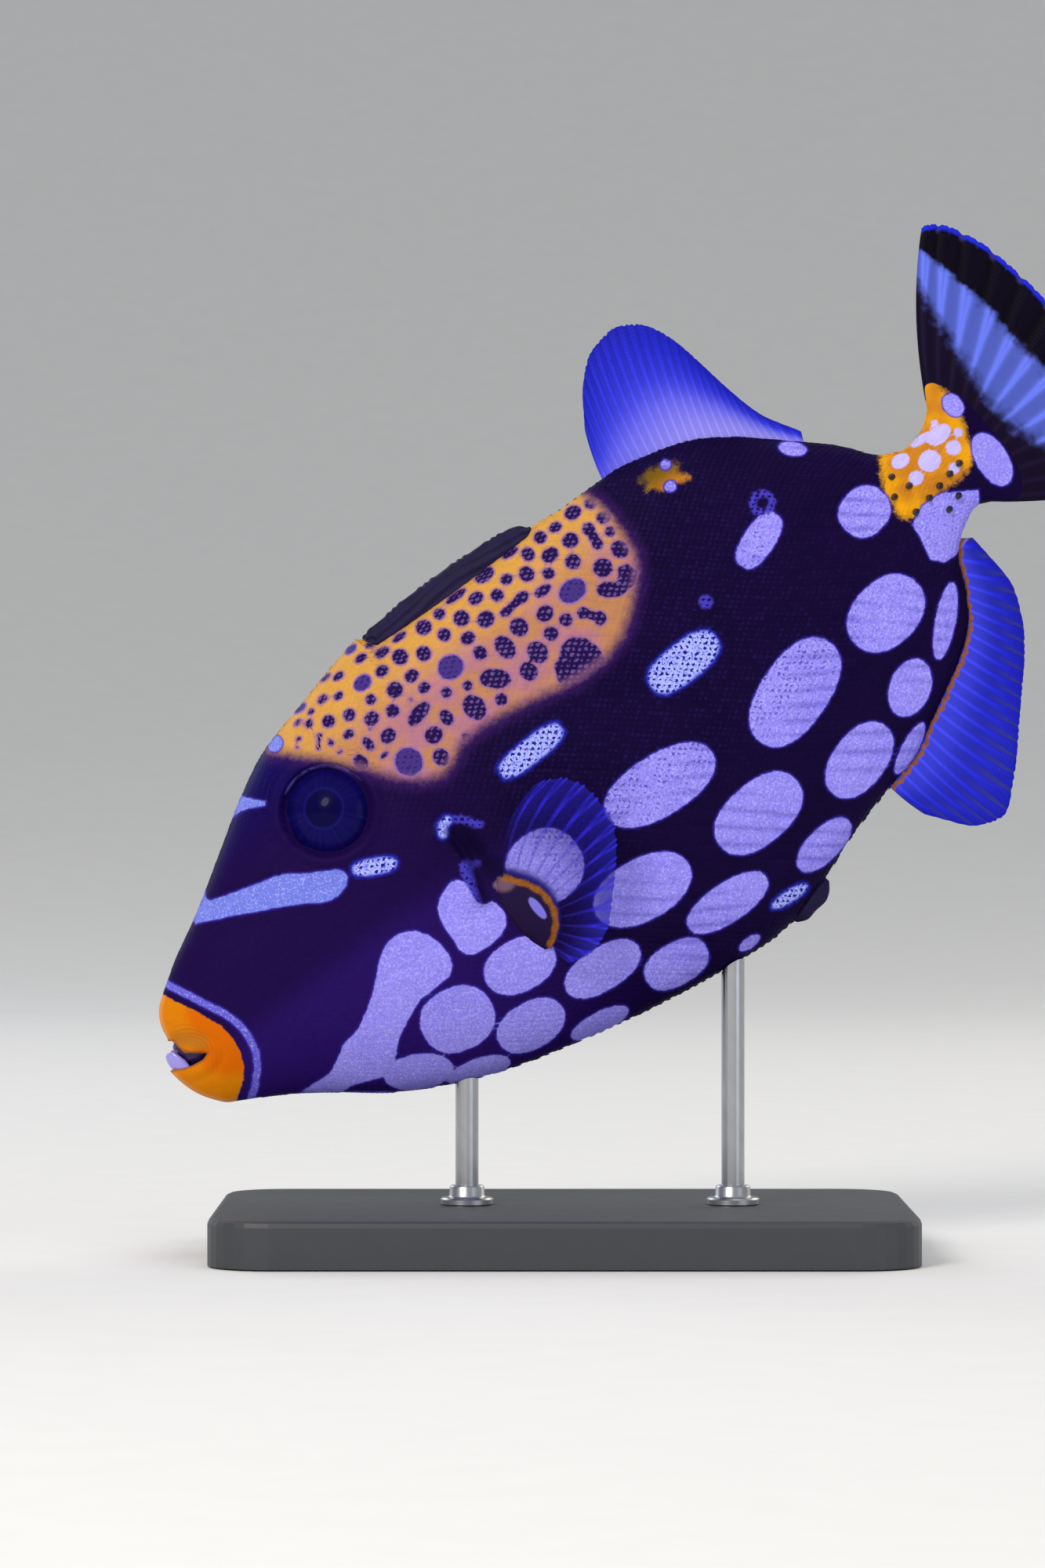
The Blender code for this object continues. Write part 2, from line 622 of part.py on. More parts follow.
def build_tail_fin(fish, material):
    """The tail fin: a fan of branched rays, thick only where it meets the body."""
    columns, rows = 49, 8
    across = np.linspace(1, -1, columns)
    root = TAIL_BASE_END.moved(GAP)
    heights = np.linspace(back_of(root.top), belly_of(root.bottom), columns)
    level = (2 * heights - heights[0] - heights[-1]) / (heights[0] - heights[-1])
    s = root.bottom + (root.top - root.bottom) * (level + 1) / 2 + root.bow * (1 - level**2)
    roots = np.stack([s, heights], axis=-1)
    edge = curve_through(TAIL_EDGE)(np.abs(across))
    along, up = edge[:, 0], edge[:, 1] * np.sign(across)
    cos, sin = math.cos(TAIL_AXIS), math.sin(TAIL_AXIS)
    tips = np.array(TAIL_ORIGIN) + np.stack([along * cos - up * sin, along * sin + up * cos], -1)
    side = ray_rows(roots, tips, rows, 0.045 * across * np.abs(across))
    share = np.linspace(0, 1, rows)[:, None]
    membrane = (FIN_ROOT + (FIN_EDGE - FIN_ROOT) * share**0.5) / 2
    swell = np.clip(1 - share / 0.26, 0, 1) ** 1.6
    flesh = half_width(roots[:, 0], roots[:, 1])[None, :]
    column = np.arange(columns)
    trunk = np.where(column % 4 == 2, 1.0, np.where(column % 2 == 1, 0.45, 0.0))
    branch = np.where(column % 2 == 1, 0.8, np.where(column % 4 == 2, 0.35, 0.0))
    ridge = (trunk[None, :] * (1 - share) + branch[None, :] * share) * RAY_HEIGHT * 1.4 * (1 - 0.7 * share)
    half = membrane + (flesh - membrane) * swell + ridge * (1 - swell)
    middle = (3.2 * np.sin(across * 2.6) + 1.8)[None, :] * share**1.8
    return slab("caudal_fin", side, middle - half, middle + half, material, fish, RAY_ANGLE)


def build_pectoral(side, fish, material):
    """A paddle on a fleshy lobe that lies against the flank, its fan held off the body."""
    columns, lobe_rows, fan_rows = 27, 3, 7
    parts = np.linspace(0, 1, columns)
    front = curve_through(PECTORAL_LOBE)(parts)
    root = curve_through(PECTORAL_ROOT)(parts)
    tips = curve_through(PECTORAL_EDGE)(parts)
    bulge = 0.13 * (1 - parts) ** 3 - 0.03 * parts
    lobe = np.stack([front + (root - front) * share for share in np.linspace(0, 1, lobe_rows)])
    fan = ray_rows(root, tips, fan_rows, bulge)[1:]
    grid = np.concatenate([lobe, fan])
    skin = half_width(grid[..., 0], grid[..., 1], torso_relief) + GAP + 0.1
    ridges = ray_ridges(fan_rows, columns, 0.28)
    inner, outer = np.empty(grid.shape[:2]), np.empty(grid.shape[:2])
    for row in range(lobe_rows):
        share = row / (lobe_rows - 1)
        inner[row] = skin[row]
        outer[row] = skin[row] + 0.6 + 2.2 * math.sin(math.pi * 0.62 * share) * np.sin(
            math.pi * (0.08 + 0.84 * parts)
        )
    start = skin[lobe_rows - 1] + 0.5 * (outer[lobe_rows - 1] - inner[lobe_rows - 1])
    for row in range(1, fan_rows):
        share = row / (fan_rows - 1)
        place = fan[row - 1]
        reach = np.linalg.norm(place - root, axis=-1)
        fold = 0.8 * share * np.sin(parts * math.pi * 5) * parts
        middle = start + reach * PECTORAL_SPREAD[side] + fold
        half = (1.5 + (FIN_EDGE - 1.5) * share**0.5) / 2 + ridges[row]
        inner[lobe_rows + row - 1] = middle - half
        outer[lobe_rows + row - 1] = middle + half
    name = "pectoral_fin_" + side
    if side == "left":
        return slab(name, grid, -outer, -inner, material, fish, RAY_ANGLE)
    return slab(name, grid, inner, outer, material, fish, RAY_ANGLE)


def build_folded_dorsal(fish, material):
    """The first dorsal fin: three spines laid back over each other in their groove."""
    parts = np.linspace(0, 1, 21)
    roots = edge_line(back_of, *FOLDED_BASE, parts, 1)
    tips = np.stack([np.linspace(107.4, 153.6, 21), 53.4 - 1.3 * parts**2], axis=-1)
    side = ray_rows(roots, tips, 3, 0 * parts)
    half = np.array([1.0, 1.3, 0.9])[:, None] * (1 - 0.35 * parts[None, :])
    fin = slab("dorsal_spine_fin", side, -half, half, material, fish)
    spines = []
    for k, ((s0, h0), (s1, h1), radius) in enumerate(FOLDED_SPINES):
        ends = (s0, 0.3 - 0.3 * k, h0), (s1, 0.2 * k, h1)
        points, faces = cone_points(*ends, radius, 0.4, 10, (0, 0, 0.5))
        spines.append(make_object(f"spine_{k}", points, faces, material, fish))
    cut(fin, spines, "UNION")
    return fin


def build_pelvic(fish, material):
    """The rough knob at the end of the pelvis."""
    parts = np.linspace(0, 1, 11)
    roots = edge_line(belly_of, *PELVIC_BASE, parts, -1)
    tips = curve_through(PELVIC_EDGE)(parts)
    side = ray_rows(roots, tips, 4, 0 * parts)
    profile = np.sin(math.pi * (0.1 + 0.8 * parts))[None, :]
    half = np.array([1.5, 1.9, 1.5, 0.5])[:, None] * profile
    bumps = np.where(np.arange(11) % 2 == 1, 0.25, 0.0)[None, :]
    return slab("pelvic_spine", side, -half - bumps, half + bumps, material, fish)


def build_torso(fish, skin):
    """The middle of the body, with a rib at each end of the step down to the spines' groove."""
    end = TORSO_END.moved(-GAP)
    step = [(s - HEAD_END.top) / (end.top - HEAD_END.top) for s in GROOVE_STEP]
    parts = np.union1d(np.linspace(0, 1, 17), [0.018, 0.04, 0.09, *step])
    return body_segment("torso", HEAD_END, end, parts, even_angles(22), skin, fish, torso_relief)


def build_tail_base(fish, skin):
    """The narrow stalk of the tail with its rows of hooked spines."""
    ends = REAR_END.moved(GAP), TAIL_BASE_END
    stalk = body_segment("tail_base", *ends, np.linspace(0, 1, 9), even_angles(15), skin, fish)
    spines = []
    for side in ("left", "right"):
        for s, h in TAIL_SPINES:
            place, out = skin_place(s, h, side)
            tip = place + out * TAIL_SPINE_HEIGHT + np.array([-1.5, 0, 0])
            points, faces = cone_points(place - out * 0.9, tip, TAIL_SPINE_RADIUS, 0.25, 5)
            spines.append(make_object(f"tail_spine_{len(spines)}", points, faces, skin, fish))
    cut(stalk, spines, "UNION")
    return stalk


def build_stand(base_finish, rod_finish, belly):
    """A flat base with two short rods, each notched to the belly that it carries."""
    length, width, height = BASE_SIZE
    shape = bmesh.new()
    bmesh.ops.create_cube(shape, size=1)
    for vertex in shape.verts:
        vertex.co.x *= length * MM
        vertex.co.y *= width * MM
        vertex.co.z = (vertex.co.z + 0.5) * height * MM
    upright = [e for e in shape.edges if abs(e.verts[0].co.z - e.verts[1].co.z) > MM]
    bmesh.ops.bevel(shape, geom=upright, offset=BASE_CORNER * MM, segments=8, affect="EDGES", profile=0.5)
    rim = [e for e in shape.edges if all(v.co.z > height * MM * 0.99 for v in e.verts)]
    bmesh.ops.bevel(shape, geom=rim, offset=BASE_CHAMFER * MM, segments=2, affect="EDGES", profile=0.5)
    mesh = bpy.data.meshes.new("stand_base")
    shape.to_mesh(mesh)
    shape.free()
    mesh.materials.append(base_finish)
    shade(mesh)
    base = bpy.data.objects.new("stand_base", mesh)
    bpy.context.scene.collection.objects.link(base)
    for name, x in ROD_X.items():
        ends = (x, 0, height + GAP), (x, 0, ROD_TOP)
        points, faces = cone_points(*ends, ROD_RADIUS, ROD_RADIUS, ROD_SIDES)
        rod = make_object("stand_rod_" + name, points, faces, rod_finish)
        copies = [copy_of(piece) for piece in belly]
        cut(rod, copies)


def copy_of(piece):
    copy = piece.copy()
    copy.data = piece.data.copy()
    return copy


def main():
    for old in list(bpy.data.objects):
        bpy.data.objects.remove(old)
    fish = bpy.data.objects.new("fish", None)
    bpy.context.scene.collection.objects.link(fish)
    fish.rotation_euler = (0, -PITCH, 0)
    fish.location = (SNOUT_X * MM, 0, SNOUT_Z * MM)
    skin = finish("dark_skin", "#2A1F4A", 0.5, coat=0.2)
    pale_fin = finish("pale_fin", "#8F9BE8", 0.45)
    dark_fin = finish("dark_fin", "#33407E", 0.45)
    spine = finish("dark_spine", "#1C1730", 0.5)
    orange = finish("orange_lips", "#EE8A12", 0.45, coat=0.2)
    enamel = finish("tooth_enamel", "#ECEBF6", 0.25)
    eye_finish = finish("eye", "#0B0B1C", 0.08, coat=1.0)
    build_lips(fish, orange)
    build_teeth(fish, enamel)
    head_wide = build_head(fish, skin, eye_finish)
    torso = build_torso(fish, skin)
    torso_wide = inflated(torso, GAP)
    parts = 1 - (1 - np.linspace(0, 1, 18)) ** 1.35
    body_segment("rear_body", TORSO_END, REAR_END, parts, even_angles(21), skin, fish)
    build_tail_base(fish, skin)
    build_folded_dorsal(fish, spine)
    build_soft_dorsal(fish, pale_fin)
    build_anal(fish, dark_fin)
    build_tail_fin(fish, dark_fin)
    build_pectoral("left", fish, dark_fin)
    build_pectoral("right", fish, dark_fin)
    build_pelvic(fish, spine)
    stand_base = finish("stand_paint", "#4A4C50", 0.55)
    stand_rod = finish("stand_steel", "#C8CACC", 0.3, metallic=1.0)
    build_stand(stand_base, stand_rod, [head_wide, torso_wide])
    for helper in (head_wide, torso_wide):
        bpy.data.objects.remove(helper)


if __name__ == "__main__":
    main()
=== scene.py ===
"""Clown triggerfish: the finished look of a still, life-size museum model on its stand.

The fish is described in its own side view, in millimetres: s runs from the upper lip to
the tail along the body's axis, h from the axis towards the back, and y across the body,
with the left side at -y. place() pitches it nose down over its stand, in metres.
"""

import json
import logging
import math
from collections.abc import Callable, Sequence
from dataclasses import dataclass, field, replace
from enum import Enum

import bmesh
import bpy
import numpy as np
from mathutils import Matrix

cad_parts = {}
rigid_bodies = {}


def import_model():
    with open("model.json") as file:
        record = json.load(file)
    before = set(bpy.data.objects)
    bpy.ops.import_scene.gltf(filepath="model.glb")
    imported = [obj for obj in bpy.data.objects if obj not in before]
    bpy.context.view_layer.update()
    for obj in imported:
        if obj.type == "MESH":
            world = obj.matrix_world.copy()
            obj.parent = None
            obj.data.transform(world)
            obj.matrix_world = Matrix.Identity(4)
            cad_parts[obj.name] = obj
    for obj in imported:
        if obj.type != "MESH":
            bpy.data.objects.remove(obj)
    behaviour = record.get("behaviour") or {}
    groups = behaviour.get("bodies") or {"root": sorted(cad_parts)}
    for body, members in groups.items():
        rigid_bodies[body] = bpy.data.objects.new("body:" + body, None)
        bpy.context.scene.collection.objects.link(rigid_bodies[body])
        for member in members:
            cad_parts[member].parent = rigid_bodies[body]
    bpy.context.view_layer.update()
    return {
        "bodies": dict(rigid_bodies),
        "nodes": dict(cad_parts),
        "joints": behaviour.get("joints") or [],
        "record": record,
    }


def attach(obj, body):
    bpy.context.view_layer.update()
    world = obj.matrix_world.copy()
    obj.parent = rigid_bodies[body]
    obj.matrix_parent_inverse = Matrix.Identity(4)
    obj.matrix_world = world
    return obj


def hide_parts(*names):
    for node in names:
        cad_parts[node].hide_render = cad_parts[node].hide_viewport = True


LOG = logging.getLogger("triggerfish")
MM = 0.001
BODY = "root"
SEED = 11
# The share of a fin's thickness that is left at its outer edge.
EDGE_LEFT = 0.35

# Pose over the stand, as the solids have it.
PITCH = math.radians(36.5)
SNOUT_X = -103.0
SNOUT_Z = 54.0

Material = bpy.types.Material
Mesh = bpy.types.Mesh
Node = bpy.types.Node
Object = bpy.types.Object
Socket = bpy.types.NodeSocket
Tree = bpy.types.NodeTree
Array = np.ndarray
Points = np.ndarray
Curve = Callable[[Array], Array]
Line = Sequence[tuple[float, float]]


def through(keys: Line) -> Curve:
    """A smooth curve through (place, value) keys that makes no bump between them.

    Args:
        keys: The places, in rising order, and the value at each.

    Returns:
        A function of place, for arrays.
    """
    x, v = np.array(keys, float).T
    step = np.diff(x)
    slope = np.diff(v) / step
    tangent = np.zeros_like(v)
    tangent[0], tangent[-1] = slope[0], slope[-1]
    before, after = slope[:-1], slope[1:]
    same = before * after > 0
    near, far = 2 * step[1:] + step[:-1], step[1:] + 2 * step[:-1]
    tangent[1:-1][same] = (near + far)[same] / (near[same] / before[same] + far[same] / after[same])

    def value(at: Array) -> Array:
        """The curve's value at these places."""
        at = np.clip(at, x[0], x[-1])
        i = np.clip(np.searchsorted(x, at, side="right") - 1, 0, len(step) - 1)
        t = (at - x[i]) / step[i]
        start = (1 + 2 * t) * (1 - t) ** 2 * v[i] + t * (1 - t) ** 2 * step[i] * tangent[i]
        end = t * t * (3 - 2 * t) * v[i + 1] + t * t * (t - 1) * step[i] * tangent[i + 1]
        return start + end

    return value


def run_along(line: Points) -> Array:
    """How far along a line each of its points is."""
    return np.concatenate([[0], np.cumsum(np.linalg.norm(np.diff(line, axis=0), axis=1))])


def curve_through(points: Line, even: bool = True) -> Curve:
    """A smooth curve in the side view through points, from 0 to 1.

    Args:
        points: The points that it passes.
        even: Whether the points are evenly spaced along it, or spaced by their distances.

    Returns:
        A function from place, 0 to 1, to (s, h).
    """
    line = np.array(points, float)
    places = np.linspace(0, 1, len(line))
    if not even:
        run = run_along(line)
        places = run / run[-1]
    s_of, h_of = (through(list(zip(places, line[:, k]))) for k in (0, 1))
    return lambda at: np.stack([s_of(at), h_of(at)], axis=-1)


def far_from(point: tuple[float, float], s: Array, h: Array) -> Array:
    """Distance in the side view from one point."""
    return np.hypot(s - point[0], h - point[1])


def far_from_line(points: Line, s: Array, h: Array) -> Array:
    """Distance in the side view from a line through points."""
    nearest = np.full(np.shape(s), np.inf)
    for (s0, h0), (s1, h1) in zip(points, points[1:]):
        length = (s1 - s0) ** 2 + (h1 - h0) ** 2
        along = np.clip(((s - s0) * (s1 - s0) + (h - h0) * (h1 - h0)) / length, 0, 1)
        distance = np.hypot(s - s0 - along * (s1 - s0), h - h0 - along * (h1 - h0))
        nearest = np.minimum(nearest, distance)
    return nearest


def inside_polygon(points: Line, s: Array, h: Array) -> Array:
    """How deep places lie inside a closed outline: distance to it, negative outside."""
    ring = [*points, points[0]]
    inside = np.zeros(np.shape(s), bool)
    for (s0, h0), (s1, h1) in zip(ring, ring[1:]):
        if h0 == h1:
            continue
        crosses = (h0 > h) != (h1 > h)
        inside ^= crosses & (s < (s1 - s0) * (h - h0) / (h1 - h0) + s0)
    return np.where(inside, 1.0, -1.0) * far_from_line(ring, s, h)


def bump(value: Array, width: float) -> Array:
    """A smooth rise round zero, of height 1."""
    return np.exp(-((value / width) ** 2))


def ease(value: Array, low: float, high: float) -> Array:
    """0 below low, 1 above high, and smooth between."""
    t = np.clip((value - low) / (high - low), 0, 1)
    return t * t * (3 - 2 * t)


def off_lines(value: Array, gap: float) -> Array:
    """How far a value is from the nearest line, with lines gap apart and the first at half a gap."""
    return np.abs(value / gap % 1 - 0.5) * gap


def full_turn(count: int) -> Array:
    """Angles evenly spaced once round."""
    return np.linspace(0, 2 * math.pi, count + 1)[:-1]


class Side(Enum):
    """The two sides of the fish, as the sign of y."""

    LEFT = -1
    RIGHT = 1


def place(s: Array, y: Array, h: Array) -> Points:
    """Points in metres in the stand's frame, from millimetres in the fish's own.

    Args:
        s: Along the body.
        y: Across it.
        h: Towards the back.

    Returns:
        An array whose last axis is x, y, z.
    """
    s, y, h = np.broadcast_arrays(s, y, h)
    x = SNOUT_X + s * math.cos(PITCH) - h * math.sin(PITCH)
    z = SNOUT_Z + s * math.sin(PITCH) + h * math.cos(PITCH)
    return np.stack([x, y, z], axis=-1) * MM


def turned(vectors: Points) -> Points:
    """Directions in the stand's frame, from directions (s, y, h) in the fish's own."""
    s, y, h = (vectors[..., k] for k in range(3))
    cos, sin = math.cos(PITCH), math.sin(PITCH)
    return np.stack([s * cos - h * sin, y, s * sin + h * cos], axis=-1)


def side_view(points: Points) -> tuple[Array, Array, Array]:
    """(s, y, h) in millimetres of points in metres: place() the other way round."""
    x, y, z = (points[..., k] / MM for k in range(3))
    x, z = x - SNOUT_X, z - SNOUT_Z
    cos, sin = math.cos(PITCH), math.sin(PITCH)
    return x * cos + z * sin, y, z * cos - x * sin


@dataclass
class Rib:
    """A line across the side view from the back to the belly, bowed towards the tail."""

    top: float
    bottom: float
    bow: float = 0.0


@dataclass
class BodyShape:
    """The form of the trunk: its outline, its width and the relief of its skin."""

    back: tuple = (
        (-3.6, -6.4), (-2, -3.5), (0, -0.8), (0.8, 0.5), (1.2, 3), (2, 5.5), (4, 8.5),
        (6.5, 10.5), (15, 16), (25, 21.5), (40, 31), (55, 40.5), (65, 45.5), (80, 49.5),
        (95, 53.3), (102, 54.6), (105.5, 50.4), (130, 49.8), (153, 49.9), (156.5, 51),
        (165, 50.2), (180, 50.2), (192, 48), (202, 44.8), (212, 38.6), (222, 30), (232, 21),
        (240, 12), (246, 9.8), (251, 10.6), (258, 16),
    )  # fmt: skip
    belly: tuple = (
        (-3.6, -6.6), (-3.3, -9), (-2.3, -13), (-1, -16), (1, -19), (3.5, -21.8), (6, -23.2),
        (15, -28), (25, -34.5), (40, -45.5), (50, -51), (65, -57.4), (85, -63), (110, -68.2),
        (130, -71), (142, -71.9), (150, -71.2), (162, -67.6), (175, -62.6), (190, -58.4),
        (200, -56.2), (210, -50.6), (220, -45.2), (231, -37.4), (237, -28), (240, -21),
        (246, -15.5), (252, -13), (258, -16),
    )  # fmt: skip
    width: tuple = (
        (-3.6, 1.4), (-3, 3.6), (-1.5, 5.6), (1, 7.2), (4, 8.4), (9, 9.8), (15, 11.3),
        (25, 14), (40, 17.4), (55, 20.2), (70, 22.4), (85, 23.8), (100, 24.3), (118, 23.8),
        (138, 21.8), (158, 18.9), (178, 15.7), (198, 12.4), (216, 9.6), (232, 7.2),
        (244, 5.8), (258, 4.6),
    )  # fmt: skip
    widest: tuple = (
        (-3.6, -6.5), (8, -6), (30, -5), (50, -1), (75, 3), (100, 2), (160, 1), (230, -2),
        (258, 0),
    )  # fmt: skip
    back_sharpness: tuple[float, float] = (2.2, 0.56)
    belly_sharpness: tuple[float, float] = (1.9, 0.62)
    ridge: float = 1.0
    snout_radius: float = 7.5
    # Where the snout's round starts to end and where it has ended; the head's relief starts after it.
    snout_end: tuple[float, float] = (8.0, 16.0)
    relief_start: tuple[float, float] = (18.0, 26.0)
    lip_radius: float = 1.25
    wrinkle_centre: tuple[float, float] = (2.6, -6.6)
    wrinkle_gap: float = 1.05
    wrinkle_depth: float = 0.12
    flank_start: tuple[float, float] = (95.0, 130.0)
    flank_end: tuple[float, float] = (225.0, 242.0)
    crease_gap: float = 4.1
    crease_depth: float = 0.16
    swell_height: float = 0.07
    eye: tuple[float, float] = (69.9, 23.5)
    # The eye's hollow: where its wall starts and ends round the eye, and its depth.
    eye_wall: tuple[float, float] = (11.2, 12.5)
    eye_hollow: float = 3.3
    rim_height: float = 0.9
    fold_start: float = 14.3
    fold_gap: float = 1.5
    fold_height: float = 0.13
    groove_depth: float = 0.8
    nostril_height: float = 0.6
    eye_groove: tuple = ((46.0, 17.5), (58.5, 21.0))
    nostrils: tuple = ((56.6, 28.4), (59.8, 27.2))
    gill_edge: tuple = ((90.2, 2.0), (90.4, -8.0), (87.4, -18.5))
    # The flap over the gill's slit: where its height fades below and above, and its thickness.
    gill_low: tuple[float, float] = (-21.5, -16.5)
    gill_high: tuple[float, float] = (0.5, 4.5)
    gill_flap: float = 1.5
    gill_slit_depth: float = 1.2
    gill_hollow: tuple[float, float] = (93.2, -6.0)
    gill_hollow_depth: float = 2.2
    mouth_corner: tuple[float, float] = (7.3, -8.5)
    gape_top: tuple = (
        (0.6, 0.12), (2, -1), (2.05, -2.5), (2.5, -4.5), (4, -6), (6, -7.5), (7.3, -8.5),
    )  # fmt: skip
    gape_bottom: tuple = (
        (-3.6, -6.5), (-2, -7.0), (0, -8.0), (3, -8.8), (5.5, -9.1), (7.3, -8.5),
    )  # fmt: skip

    def __post_init__(self) -> None:
        """Makes the smooth curves and the outline of the side view."""
        self.back_of = through(self.back)
        self.belly_of = through(self.belly)
        self.width_of = through(self.width)
        self.widest_of = through(self.widest)
        tip = self.back[0][0]
        places = tip + (22 - tip) * np.linspace(0, 1, 90) ** 2
        upper = np.stack([places, self.back_of(places)], axis=-1)
        lower = np.stack([places, self.belly_of(places)], axis=-1)
        self.snout_line = np.concatenate([lower[::-1], upper])

    def fullness(self, s: Array, h: Array) -> Array:
        """The share of the full width at a place, 0 on the outline and 1 at the widest."""
        top, bottom, middle = self.back_of(s), self.belly_of(s), self.widest_of(s)
        up = np.clip((h - middle) / np.maximum(top - middle, 0.05), 0, 1)
        down = np.clip((middle - h) / np.maximum(middle - bottom, 0.05), 0, 1)
        back = (1 - up ** self.back_sharpness[0]) ** self.back_sharpness[1]
        belly = (1 - down ** self.belly_sharpness[0]) ** self.belly_sharpness[1]
        return np.where(h > middle, back, belly)

    def lips_relief(self, s: Array, h: Array) -> Array:
        """The rolled edge of the lips, the fold behind it and the wrinkles at the corner."""
        edge = np.minimum(far_from_line(self.gape_top, s, h), far_from_line(self.gape_bottom, s, h))
        radius = self.lip_radius
        rolled = radius - np.sqrt(np.clip(radius**2 - np.clip(radius - edge, 0, radius) ** 2, 0, None))
        swell = 0.2 * bump(edge - 2.2, 1.2) - 0.1 * bump(edge - 4.4, 0.9)
        return swell - self.wrinkle_depth * self.lip_lines(s, h) - rolled

    def lip_lines(self, s: Array, h: Array) -> Array:
        """Where the fine wrinkles are that run round the mouth's corner, from 0 to 1."""
        out = far_from(self.wrinkle_centre, s, h)
        off = off_lines(out + 0.35 * np.sin(h * 0.7 + s * 0.3), self.wrinkle_gap)
        near = bump(out - 6.6, 2.3) * ease(s, 1.5, 6.0) * (0.35 + 0.65 * ease(h, -11, -7))
        return bump(off, 0.2) * near

    def head_relief(self, s: Array, h: Array) -> Array:
        """The rim and the folds round the eye, the groove before it and the nostrils."""
        radius = far_from(self.eye, s, h)
        start, end = self.eye_wall
        crease = -self.eye_hollow * (1 - ease(radius, start, end))
        rim = self.rim_height * bump(radius - end - 0.4, 1.2)
        beyond = radius - self.fold_start
        folds = self.fold_height * np.cos(beyond * 2 * math.pi / self.fold_gap)
        folds *= bump(beyond - self.fold_gap, 2.4)
        folds *= 0.5 + 0.5 * np.sin(np.arctan2(h - self.eye[1], s - self.eye[0]) * 3 + 1)
        groove = -self.groove_depth * bump(far_from_line(self.eye_groove, s, h), 2.0)
        nostrils = sum(bump(far_from(spot, s, h), 1.5) for spot in self.nostrils)
        return rim + crease + folds + groove + self.nostril_height * nostrils

    def gill_relief(self, s: Array, h: Array) -> Array:
        """The flap over the gill's slit, and the hollow behind its edge."""
        edge_s = np.interp(h, *np.array([(p[1], p[0]) for p in reversed(self.gill_edge)]).T)
        beyond = s - edge_s
        reach = ease(h, *self.gill_low) * (1 - ease(h, *self.gill_high))
        flap = self.gill_flap * bump(np.minimum(beyond - 0.4, 0), 4.0) * (1 - ease(beyond, 0.2, 1.1))
        s0, h0 = self.gill_hollow
        hollow = -self.gill_hollow_depth * bump(s - s0, 3.4) * bump(h - h0, 8.0)
        slit = -self.gill_slit_depth * bump(beyond - 1.4, 0.7)
        return reach * (flap + slit) + hollow * ease(beyond, -0.5, 1.2)

    def on_flank(self, s: Array) -> Array:
        """1 along the flank, 0 on the head and on the tail's stalk."""
        return ease(s, *self.flank_start) * (1 - ease(s, *self.flank_end))

    def creases(self, s: Array, h: Array) -> Array:
        """Where the fine creases are that run level across the flank, from 0 to 1."""
        across = h * math.cos(PITCH) + s * math.sin(PITCH)
        drift = 0.9 * np.sin(s * 0.11 + 0.6) + 0.7 * np.sin(h * 0.19 + s * 0.03)
        off = off_lines(across + drift, self.crease_gap)
        patchy = np.clip(0.75 + 0.6 * np.sin(s * 0.17 + 1.7 * np.sin(h * 0.13)), 0, 1)
        return bump(off, 0.55) * patchy * self.on_flank(s)

    def flank_relief(self, s: Array, h: Array) -> Array:
        """The creases, and the low swellings between them."""
        swell = np.sin(s * 0.21 + 0.8 * np.sin(h * 0.17)) * np.sin(h * 0.23 + 0.5 * np.sin(s * 0.13))
        return self.swell_height * swell * self.on_flank(s) - self.crease_depth * self.creases(s, h)

    def half_width(self, s: Array, h: Array) -> Array:
        """How far the skin stands from the middle plane at a place in the side view."""
        full = self.fullness(s, h)
        width = self.ridge * np.minimum(full * 4, 1) ** 0.5 + (self.width_of(s) - self.ridge) * full
        relief = self.head_relief(s, h) + self.gill_relief(s, h) + self.flank_relief(s, h)
        width = width + relief * np.minimum(full * 2, 1) * ease(s, *self.relief_start)
        snout = s < self.snout_end[1]
        if np.any(snout):
            near = far_from_line([tuple(p) for p in self.snout_line], s[snout], h[snout])
            round_ = np.sqrt(2 * self.snout_radius * near)
            share = ease(s[snout], *self.snout_end)
            softened = (width[snout] ** -4 + np.maximum(round_, 1e-3) ** -4) ** -0.25
            width[snout] = softened * (1 - share) + width[snout] * share
            relief = self.lips_relief(s[snout], h[snout]) * np.minimum(width[snout] / 3, 1)
            width[snout] = np.maximum(width[snout] + relief, 0)
        return width

    def ends(self, rib: Rib) -> tuple[float, float]:
        """The heights of the back and of the belly where a rib meets them."""
        return float(self.back_of(np.array(rib.top))), float(self.belly_of(np.array(rib.bottom)))

    def rib_points(self, rib: Rib, angles: Array) -> Array:
        """Points in the side view down a rib, from the back to the belly.

        Args:
            rib: The rib.
            angles: Where the points are, from a quarter turn to minus a quarter turn.

        Returns:
            An array of (s, h).
        """
        high, low = self.ends(rib)
        middle = self.widest_of((rib.top + rib.bottom) / 2)
        rise = np.sin(angles)
        h = middle + np.where(rise > 0, (high - middle) * rise, (middle - low) * rise)
        level = (2 * h - high - low) / (high - low)
        straight = rib.bottom + (rib.top - rib.bottom) * (level + 1) / 2
        return np.stack([straight + rib.bow * (1 - level**2), h], axis=-1)

    def skin_place(self, s: Array, h: Array, side: Side) -> tuple[Points, Points]:
        """Points on the skin and the ways out of it, in the fish's own frame.

        Args:
            s: Along the body.
            h: Towards the back.
            side: Which side.

        Returns:
            The points and the unit normals, each with (s, y, h) on the last axis.
        """
        s, h = np.atleast_1d(s).astype(float), np.atleast_1d(h).astype(float)
        small = 0.4
        y = self.half_width(s, h)
        along = (self.half_width(s + small, h) - self.half_width(s - small, h)) / (2 * small)
        up = (self.half_width(s, h + small) - self.half_width(s, h - small)) / (2 * small)
        normal = np.stack([-along, np.ones_like(y), -up], axis=-1)
        normal /= np.linalg.norm(normal, axis=-1, keepdims=True)
        sign = side.value
        return np.stack([s, sign * y, h], axis=-1), normal * np.array([1, sign, 1])


SHAPE = BodyShape()


